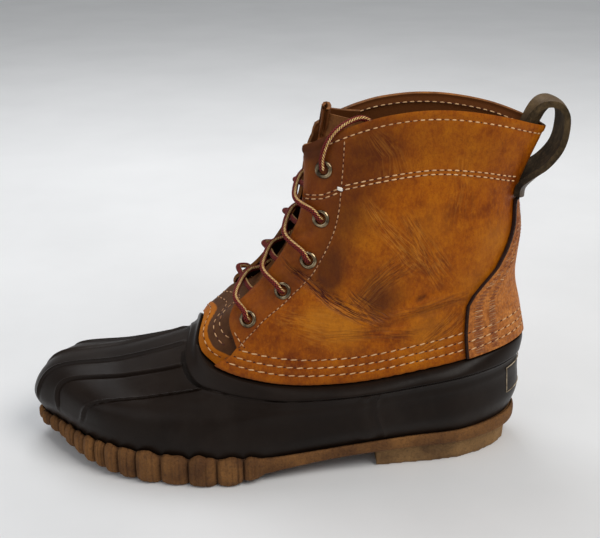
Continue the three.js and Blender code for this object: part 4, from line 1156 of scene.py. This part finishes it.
TAN = (rgb(0.45, 0.135, 0.002), rgb(0.31, 0.074, 0.001), rgb(0.15, 0.026, 0.001))
waxed, tree, shader, ground, *rest = leather_material("waxed_leather", *TAN)
red = span(tree, attribute(tree, "facing"), 0.1, 0.9, 0, 0.55)
ground = blend(tree, red, ground, rgb(0.16, 0.034, 0.003))
# Stains and painted shade darken the leather; worn places and painted highlights lighten it.
stain_and_painted_light_at = attribute(tree, "stain_and_painted_light")
ground = blend(tree, span(tree, stain_and_painted_light_at, 0.05, 0.9, 0, 0.82), ground, rgb(0.06, 0.014, 0.003))
ground = blend(tree, span(tree, stain_and_painted_light_at, -0.05, -0.8, 0, 0.6), ground, rgb(0.58, 0.24, 0.02))
# Painted shade in the troughs of the folds that have set.
ground = blend(tree, span(tree, attribute(tree, "fold"), 0.1, 0.9, 0, 0.5), ground, rgb(0.085, 0.014, 0.004))
# Painted shade along the leather's foot, where it meets the rubber's lip.
foot = span(tree, attribute(tree, "rise"), 0.02, 0.009, 0, 0.6)
ground = blend(tree, foot, ground, rgb(0.12, 0.035, 0.008))
all_lines = 0.0
for n in range(len(CREASES)):
    pale = crease_lines(tree, n, "light", 3.7 + n, 0.075)
    ground = blend(tree, times(tree, pale, 0.6), ground, rgb(0.6, 0.24, 0.03))
# The dark crease lines are painted shade in the grooves that the same lines press into the skin.
for n in range(len(CREASES)):
    line = crease_lines(tree, n, "dark", 0.4 + n, 0.085)
    ground = blend(tree, times(tree, line, 0.9), ground, rgb(0.045, 0.005, 0.003))
    all_lines = plus(tree, line, all_lines)
finish_leather(tree, shader, ground, *rest, lines=all_lines)

flesh, tree, shader, ground, *rest = leather_material(
    "flesh_side", rgb(0.07, 0.036, 0.016), rgb(0.035, 0.017, 0.008), rgb(0.016, 0.008, 0.005), 0.8)
lining = span(tree, attribute(tree, "rise"), 0.86, 0.865)
ground = blend(tree, lining, ground, rgb(0.13, 0.04, 0.009))
finish_leather(tree, shader, ground, *rest)

cut_edge = plain_leather(
    "cut_edge", rgb(0.33, 0.13, 0.03), rgb(0.2, 0.075, 0.02), rgb(0.09, 0.035, 0.012), 0.75)


def thicken(piece, wall, face, back, edge, sharp_from=55):
    """Gives a sheet its wall, with a material for its face, its back and its cut edge."""
    for material in (face, back, edge):
        piece.data.materials.append(material)
    modify(piece, "SOLIDIFY", thickness=wall, offset=-1, material_offset=1, material_offset_rim=2)
    bpy.ops.object.shade_smooth_by_angle(angle=math.radians(sharp_from))


thicken(shaft, LEATHER_WALL, waxed, flesh, cut_edge)
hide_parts("shaft")
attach(shaft, "root")

# The tongue. Softer brown leather that runs on under both quarters, sewn to the shell's rim in front
# of the throat and free above. A smooth orange strip covers its foot.
TONGUE_TOP = 0.213
TONGUE_CORNER = 0.005
TONGUE = np.array([
    (0, 3.2, 4.2), (0.2, 3.3, 4.2), (0.75, 3.7, 4.4), (0.92, 4.2, 5.4), (1.2, 5, 8)])
TONGUE_COLUMNS, TONGUE_ROWS = 72, 150
TONGUE_FREE = (0.22, 0.34)  # it lies close below the first level, and free above the second
STRIP_HEIGHT = 0.0088


def tongue_uv(s, t):
    level = 0.01 + 1.13 * t
    half = np.interp(level, TONGUE[:, 0], TONGUE[:, 1])
    u = (2 * s - 1) * half / STATIONS
    rise = (leather(u, 1.1)[:, 2] - leather(u, 1)[:, 2]) / 0.1
    corner = TONGUE_CORNER * (frontness(u) / TONGUE[-1, 1]) ** 2
    top = 1 + (TONGUE_TOP - corner - leather(u, 1)[:, 2]) / rise
    return u, np.where(level < 0.9, level, 0.9 + (top - 0.9) * (level - 0.9) / 0.24)


def tongue_dip(u, up):
    free = np.interp(up, TONGUE[:, 0], TONGUE[:, 2]) * LACE_RADIUS
    dip = foot_dip(u, up)
    return dip + (free - dip) * ease(up, *TONGUE_FREE)


def tongue_face(u, up, lift=0.0):
    s = (u + 0.5) % 1 * STATIONS - STATIONS / 2
    sag = 0.0009 * np.sin(s * 1.9 + 6 * up) * ease(up, 0.35, 0.6) + 0.0006 * np.sin(26 * up + s)
    sag = sag * ease(up, *TONGUE_FREE)
    edge = 0.0006 * ease(rim_up(u, STRIP_HEIGHT) - up, 0, 0.004)
    return off(leather, u, up, -LEATHER_INSET - tongue_dip(u, up) + sag * 0.6 + edge + lift)


tongue = laid_sheet("tongue_and_strip", TONGUE_COLUMNS, TONGUE_ROWS,
                    lambda s, t: tongue_face(*tongue_uv(s, t)))
u, up = tongue_uv(*grid_shares(TONGUE_COLUMNS, TONGUE_ROWS))
mark(tongue, "strip", (up - rim_up(u, STRIP_HEIGHT)) * reach_per_up(u))
mark(tongue, "rise", up)
soft, tree, shader, ground, *rest = leather_material(
    "tongue_leather", rgb(0.22, 0.085, 0.02), rgb(0.135, 0.048, 0.012), rgb(0.06, 0.02, 0.006), 0.58)
# The tongue darkens lower down: partly its rougher base, partly painted shade deep in the throat between the
# quarters.
rough_base_and_shade = span(tree, attribute(tree, "rise"), 0.45, 0.2, 0, 0.7)
ground = blend(tree, rough_base_and_shade, ground, rgb(0.055, 0.022, 0.01))
strip = span(tree, attribute(tree, "strip"), 0.0004, -0.0003)
ground = blend(tree, strip, ground, blend(tree, span(tree, rest[0], 0.35, 0.65), TAN[1], TAN[0]))
finish_leather(tree, shader, ground, *rest)
thicken(tongue, TONGUE_WALL, soft, flesh, cut_edge)
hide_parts("tongue")
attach(tongue, "root")

# The back stay. A pebbled red-brown strap sewn over the back seam, wide at the foot, narrow above,
# with thick dark cut edges.
STAY = np.array([
    (0.012, 2), (0.2, 2.02), (0.34, 2.02), (0.385, 1.9), (0.425, 1.7), (0.48, 1.35), (0.55, 1.1),
    (0.66, 0.8), (0.755, 0.62)])
STAY_WALL = 0.0017
STAY_COLUMNS, STAY_ROWS = 72, 110
STAY_FOLLOWS = 0.6  # it takes up this much of the leather's relief


def stay_uv(s, t):
    up = STAY[0, 0] + (STAY[-1, 0] - STAY[0, 0]) * t
    return 0.5 + (2 * s - 1) * np.interp(up, STAY[:, 0], STAY[:, 1]) / STATIONS, up


def stay_face(u, up, lift=0.0):
    height = STAY_FOLLOWS * shaft_height(u, up)[0] - (1 - STAY_FOLLOWS) * LEATHER_INSET
    return off(leather, u, up, height + STAY_WALL + 2 * CLEARANCE + lift)


stay = laid_sheet("back_stay_strap", STAY_COLUMNS, STAY_ROWS, lambda s, t: stay_face(*stay_uv(s, t)))
s, t = grid_shares(STAY_COLUMNS, STAY_ROWS)
u, up = stay_uv(s, t)
edge_u = stay_uv(np.round(s), t)[0]
mark(stay, "edge", np.linalg.norm(leather(u, up) - leather(edge_u, up), axis=1))
pebbled, tree, shader, ground, *rest = leather_material(
    "pebbled_leather", rgb(0.62, 0.24, 0.055), rgb(0.45, 0.15, 0.03), rgb(0.22, 0.06, 0.012), 0.5)
pebble = node(tree, "ShaderNodeTexVoronoi", {"Vector": object_place(tree), "Scale": 620},
              feature="SMOOTH_F1").outputs[0]
ground = blend(tree, span(tree, pebble, 0.35, 0.7, 0, 0.42), ground, rgb(0.13, 0.03, 0.01))
ground = blend(tree, span(tree, attribute(tree, "edge"), 0.0016, 0.0011), ground, rgb(0.02, 0.008, 0.005))
finish_leather(tree, shader, ground, *rest)
wire(shader, normal=bump(tree, pebble, -0.0012, 0.8))
dark_edge = plain_leather(
    "dark_edge", rgb(0.05, 0.02, 0.013), rgb(0.028, 0.012, 0.009), rgb(0.013, 0.006, 0.005), 0.7)
thicken(stay, STAY_WALL, pebbled, flesh, dark_edge, 50)
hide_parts("back_stay")
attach(stay, "root")

# The pull loop. A doubled strap, smooth outside and rough at its cut edges. It is sewn down above the
# back stay, stands off the leather to take a finger, and turns over the collar into the shaft.
STRAP_WIDTH = 0.022
STRAP_WALL = 0.0036
LOOP = [
    (0.768, 0.11, 1), (0.81, 0.115, 1), (0.855, 0.24, 0.6), (0.9, 0.4, 0.2), (0.955, 0.47, 0),
    (1.01, 0.4, 0), (1.055, 0.2, 0), (1.07, -0.05, 0.2), (1.05, -0.24, 0.7), (1, -0.3, 1),
    (0.9, -0.29, 1)]
LOOP_ROWS, LOOP_COLUMNS = 130, 22
marks = np.array([(up, lift * STRAP_WIDTH, hold) for up, lift, hold in LOOP])
ends = np.concatenate([2 * marks[:1] - marks[1:2], marks, 2 * marks[-1:] - marks[-2:-1]])


def loop_line(t):
    along = np.clip(t, 0, 1) * (len(marks) - 1)
    k = np.minimum(along.astype(int), len(marks) - 2)
    return catmull(*[ends[k + step] for step in range(4)], along - k)


def place_loop(s, t):
    up, lift, hold = loop_line(t).T
    ahead, behind = loop_line(t + 0.01), loop_line(t - 0.01)
    half = np.full(t.shape, 0.5)
    centre = off(leather, half, up, lift)
    tangent = np.subtract(*(off(leather, half, place[:, 0], place[:, 1]) for place in (ahead, behind)))
    normal = unit(np.stack([tangent[:, 2], 0 * up, -tangent[:, 0]], 1)) * STRAP_WALL / 2
    q = 2 * s - 1
    free = centre + normal
    free[:, 1] = q * STRAP_WIDTH / 2
    reach = STRAP_WIDTH / 2 / np.linalg.norm(leather(half, up) - leather(half + 0.001, up), axis=1) / 1000
    laid = off(leather, 0.5 + q * reach, up, lift) + normal
    cupped = 0.0008 * (1 - q * q)[:, None] * unit(normal) * (1 - hold)[:, None]
    return free + (laid - free) * hold[:, None] + cupped


loop = laid_sheet("pull_loop_strap", LOOP_COLUMNS, LOOP_ROWS, place_loop)
strap = plain_leather(
    "strap_leather", rgb(0.13, 0.085, 0.04), rgb(0.085, 0.052, 0.024), rgb(0.04, 0.022, 0.011), 0.4)
rough_edge = plain_leather(
    "rough_edge", rgb(0.13, 0.085, 0.04), rgb(0.045, 0.03, 0.015), rgb(0.015, 0.01, 0.006), 0.9)
thicken(loop, STRAP_WALL, strap, rough_edge, rough_edge, 50)
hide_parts("pull_loop")
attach(loop, "root")

# The eyelets. Ten rings of pressed brass, darkened with age, each with a rolled flange outside and a
# barrel through the leather that is set on the facing.
EYELET_FLANGE = 0.0050
EYELET_BORE = 0.0026
EYELET_BARREL = 0.0031
seat = CLEARANCE + EYESTAY_STEP
profile = np.array([
    (EYELET_BORE, -0.0016), (EYELET_BORE, 0.0), (EYELET_BORE * 1.03, seat + 0.0004),
    (EYELET_BORE * 1.18, seat + 0.00085), (EYELET_BORE * 1.42, seat + 0.00098),
    (EYELET_FLANGE * 0.86, seat + 0.00078), (EYELET_FLANGE * 0.97, seat + 0.00036),
    (EYELET_FLANGE, seat + 0.0001), (EYELET_FLANGE * 0.96, seat), (EYELET_BARREL, seat),
    (EYELET_BARREL, -0.0016)])
EYELET_SIDES = 40

brass, tree, shader = new_material("aged_brass", metallic=1.0)
place = object_place(tree)
age = noise(tree, place, 190, 3, 0.5)
ground = blend(tree, span(tree, age, 0.35, 0.65), rgb(0.07, 0.05, 0.032), rgb(0.34, 0.26, 0.155))
wire(shader, colour=ground, roughness=span(tree, age, 0.3, 0.7, 0.34, 0.2),
     normal=bump(tree, age, 0.00004, 0.4))

for side, side_name in ((-1, "lateral"), (1, "medial")):
    for k, (up, station) in enumerate(EYELETS):
        u = mirrored(station / STATIONS, side)
        face = Vector(normal_of(leather, u, up)[0])
        turn = np.array(Vector((0, 0, 1)).rotation_difference(face).to_matrix())
        middle = off(leather, u, up, -LEATHER_INSET)[0]

        def place_ring(s, t):
            k = np.rint(t * len(profile)).astype(int) % len(profile)
            radius, height = profile[k].T
            ring = np.stack([radius * np.cos(2 * np.pi * s), radius * np.sin(2 * np.pi * s), height], 1)
            return middle + ring @ turn.T
        ring_piece = laid_sheet(f"eyelet_ring_{side_name}_{k + 1}", EYELET_SIDES, len(profile), place_ring)
        close_seams(ring_piece)
        ring_piece.data.materials.append(brass)
        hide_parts(f"eyelet_{side_name}_{k + 1}")
        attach(ring_piece, "root")

# The stitching. Waxed cream thread: three rows round the foot of the leather, a double row under the
# collar, one along its top, finer ones along the facings, and a zigzag on the back stay.
THREAD_RADIUS, FINE_THREAD = 0.0004, 0.00033
RIM_PITCH, STAY_PITCH, TONGUE_PITCH, BAND_PITCH = 0.0059, 0.0056, 0.0052, 0.0044
FACING_DROP = 0.004  # the band's rows run this much lower across the facing
SLANT = 0.00025
STRIP_STEP = 0.0035  # the tongue's upper rows lie this much higher
THROAT_MARGIN = 0.006
ZIGZAG_RADIUS = 0.0002


def stitch_shape():
    """One stitch as a short six-sided capsule along X, a unit long and a unit thick."""
    rings = [(-0.42, 0.6), (-0.25, 1), (0.25, 1), (0.42, 0.6)]
    points = [(-0.5, 0, 0)]
    for x, radius in rings:
        points += [(x, radius * math.cos(math.pi * n / 3), radius * math.sin(math.pi * n / 3))
                   for n in range(6)]
    points.append((0.5, 0, 0))
    faces = [(0, 1 + (n + 1) % 6, 1 + n) for n in range(6)]
    for r in range(len(rings) - 1):
        a, b = 1 + 6 * r, 7 + 6 * r
        faces += [(a + n, a + (n + 1) % 6, b + (n + 1) % 6, b + n) for n in range(6)]
    last = len(points) - 1
    faces += [(last - 6 + n, last - 6 + (n + 1) % 6, last) for n in range(6)]
    return np.array(points), faces


STITCH, STITCH_FACES = stitch_shape()
thread_points, thread_faces, thread_tones = [], [], []
hole_points, hole_faces = [], []
stitch_seed = np.random.default_rng(11)


def lay_stitch(start, end, up, radius, points, faces, arch=0.25):
    middle, along = (start + end) / 2, end - start
    reach = np.linalg.norm(along)
    along = along / reach
    across = np.cross(up, along)
    across /= np.linalg.norm(across)
    up = np.cross(along, across)
    base = sum(len(p) for p in points)
    x, y, z = STITCH.T
    points.append(middle + np.outer(x * reach, along) + np.outer(y * radius, across)
                  + np.outer(z * radius * 0.85 - arch * radius * (2 * x) ** 4 * 2, up))
    faces.extend(tuple(base + n for n in face) for face in STITCH_FACES)


def stitch_row(face, route, pitch, fill=0.66, radius=THREAD_RADIUS, tone=0.0, slant=0.0, lift=0.0):
    """Stitches along a route of (u, up) on a face, with a dark patch of painted shade at the needle hole
    between each two.
    """
    route = np.array(route)
    steps = np.linspace(0, len(route) - 1, 1500)
    u = np.interp(steps, range(len(route)), route[:, 0])
    up = np.interp(steps, range(len(route)), route[:, 1])
    line = face(u, up)
    walked = np.concatenate([[0], np.cumsum(np.linalg.norm(np.diff(line, axis=0), axis=1))])
    count = max(1, int(round(walked[-1] / pitch)))
    pitch = walked[-1] / count
    normals = normal_of(leather, u, up)

    def at(distance):
        return np.array([np.interp(distance, walked, line[:, axis]) for axis in range(3)])
    for k in range(count):
        jitter = stitch_seed.normal(0, 0.03, 2) * pitch
        middle = (k + 0.5) * pitch
        here = normals[np.searchsorted(walked, middle).clip(0, len(walked) - 1)]
        start = at(middle - pitch * fill / 2 + jitter[0])
        end = at(middle + pitch * fill / 2 + jitter[1])
        sideways = np.cross(here, end - start)
        sideways = sideways / np.linalg.norm(sideways) * slant
        base = here * (radius * 0.35 + lift)
        lay_stitch(start + base - sideways, end + base + sideways, here, radius,
                   thread_points, thread_faces)
        thread_tones.extend([tone + stitch_seed.normal(0, 0.12)] * len(STITCH))
        hole = at(k * pitch)
        along = at(k * pitch + 0.0005) - at(k * pitch - 0.0005)
        along = along / np.linalg.norm(along)
        reach = pitch * (1 - fill) * 0.42 * along + sideways * 0.8
        lay_stitch(hole - reach + here * lift, hole + reach + here * lift, here, radius * 0.95,
                   hole_points, hole_faces, 0.1)


def sew(face, side, first, last, steps, level, pitch, **how):
    """A row from one station to another, at the level that level(u) gives."""
    u = mirrored(np.linspace(first, last, steps) / STATIONS, side)
    up = level(u)
    kept = (face is not shaft_face) | (frontness(u) / STATIONS > throat_at(up, side) + THROAT_MARGIN)
    stitch_row(face, np.stack([u, up], 1)[kept], pitch, **how)


for side in (-1, 1):
    for n, distance in enumerate(RIM_ROWS):
        sew(shaft_face, side, 2.3, 9.0, 60, lambda u: rim_up(u, distance), RIM_PITCH, slant=SLANT)
        sew(stay_face, side, 9.06, 11, 24, lambda u: rim_up(u, distance), STAY_PITCH, slant=SLANT,
            tone=-0.1)
        sew(tongue_face, side, 2.3 if n < 2 else 2.5, 0, 30,
            lambda u: rim_up(u, distance + STRIP_STEP * (n > 0)), TONGUE_PITCH, tone=-0.25, fill=0.6)
    for shift in (0, BAND_GAP):
        sew(shaft_face, side, 4.15, 10.2, 40, lambda u: band_up(u) - shift / reach_per_up(u, 0.8),
            BAND_PITCH)
        sew(shaft_face, side, 1.6, 3.9, 14,
            lambda u: band_up(u) - shift / reach_per_up(u, 0.8) - FACING_DROP, 0.0042, tone=-0.15)
    for lift in (0, -LEATHER_WALL - 1.1 * THREAD_RADIUS):
        sew(shaft_face, side, 3.0, 10.9, 60, lambda u: 1 - TOP_ROW / reach_per_up(u, 0.95), BAND_PITCH,
            lift=lift)
    ups = np.linspace(0.12, 0.96, 60)
    u = mirrored(eyestay_at(ups) - 0.0006, side)
    stitch_row(shaft_face, np.stack([u, ups], 1), 0.0031, radius=FINE_THREAD, tone=-0.3, fill=0.62)
    ups = np.linspace(0.125, 0.175, 8)
    u = mirrored(np.interp(ups, [0.125, 0.175], [3.25, 2.55]) / STATIONS, side)
    stitch_row(shaft_face, np.stack([u, ups], 1), 0.0032, radius=FINE_THREAD, tone=-0.1)

# A zigzag runs along the stay's edges, and a white bar locks the band's rows at the facing.
for side in (-1, 1):
    for inset, width in ((0.16, 0.22), (0.5, 0.2)):
        ups = np.linspace(0.03, 0.735, 96)
        half = np.interp(ups, STAY[:, 0], STAY[:, 1])
        swing = np.where(np.arange(len(ups)) % 2 == 0, 1, -1)
        across = np.maximum(half - inset - width * (1 + swing) / 2, 0.06 * (1 + swing))
        u = 0.5 + side * across / STATIONS
        places = stay_face(u, ups)
        normals = normal_of(leather, u, ups)
        for k in range(len(ups) - 1):
            rise = normals[k] * ZIGZAG_RADIUS
            lay_stitch(places[k] + rise, places[k + 1] + rise, normals[k], ZIGZAG_RADIUS,
                       thread_points, thread_faces, 0.1)
            thread_tones.extend([-0.7 + stitch_seed.normal(0, 0.3)] * len(STITCH))
bar_u = np.array([3.78, 4.12]) / STATIONS
bar = shaft_face(bar_u, np.array([0.797, 0.788]), 0.0006)
for shift in (-0.0006, 0, 0.0006):
    step = np.array([0, 0, shift])
    lay_stitch(bar[0] + step, bar[1] + step, normal_of(leather, bar_u, 0.79)[0], 0.00045,
               thread_points, thread_faces)
    thread_tones.extend([0.6] * len(STITCH))


def stitched_piece(name, points, faces, material):
    mesh = bpy.data.meshes.new(name)
    mesh.from_pydata(np.concatenate(points).tolist(), [], faces)
    piece = bpy.data.objects.new(name, mesh)
    bpy.context.scene.collection.objects.link(piece)
    pick(piece)
    bpy.ops.object.shade_smooth()
    mesh.materials.append(material)
    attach(piece, "root")
    return piece


thread, tree, shader = new_material("waxed_thread", roughness=0.6, specular=0.15)
tone = attribute(tree, "tone")
ground = blend(tree, span(tree, tone, -0.7, 0.3), rgb(0.24, 0.075, 0.03), rgb(0.8, 0.52, 0.27))
ground = blend(tree, span(tree, tone, 0.3, 0.6), ground, rgb(0.9, 0.86, 0.78))
twist = noise(tree, object_place(tree), 2600, 2)
wire(shader, colour=ground, normal=bump(tree, twist, 0.0002, 0.6))
stitching = stitched_piece("stitching", thread_points, thread_faces, thread)
mark(stitching, "tone", thread_tones)

# The needle holes are dark capsules of painted shade, where the thread sinks into the leather.
hole_shade_paint, tree, shader = new_material("needle_hole_shade", roughness=0.9)
wire(shader, colour=blend(tree, noise(tree, object_place(tree), 800), rgb(0.03, 0.004, 0.003),
                          rgb(0.075, 0.014, 0.006)))
stitched_piece("needle_hole_shades", hole_points, hole_faces, hole_shade_paint)
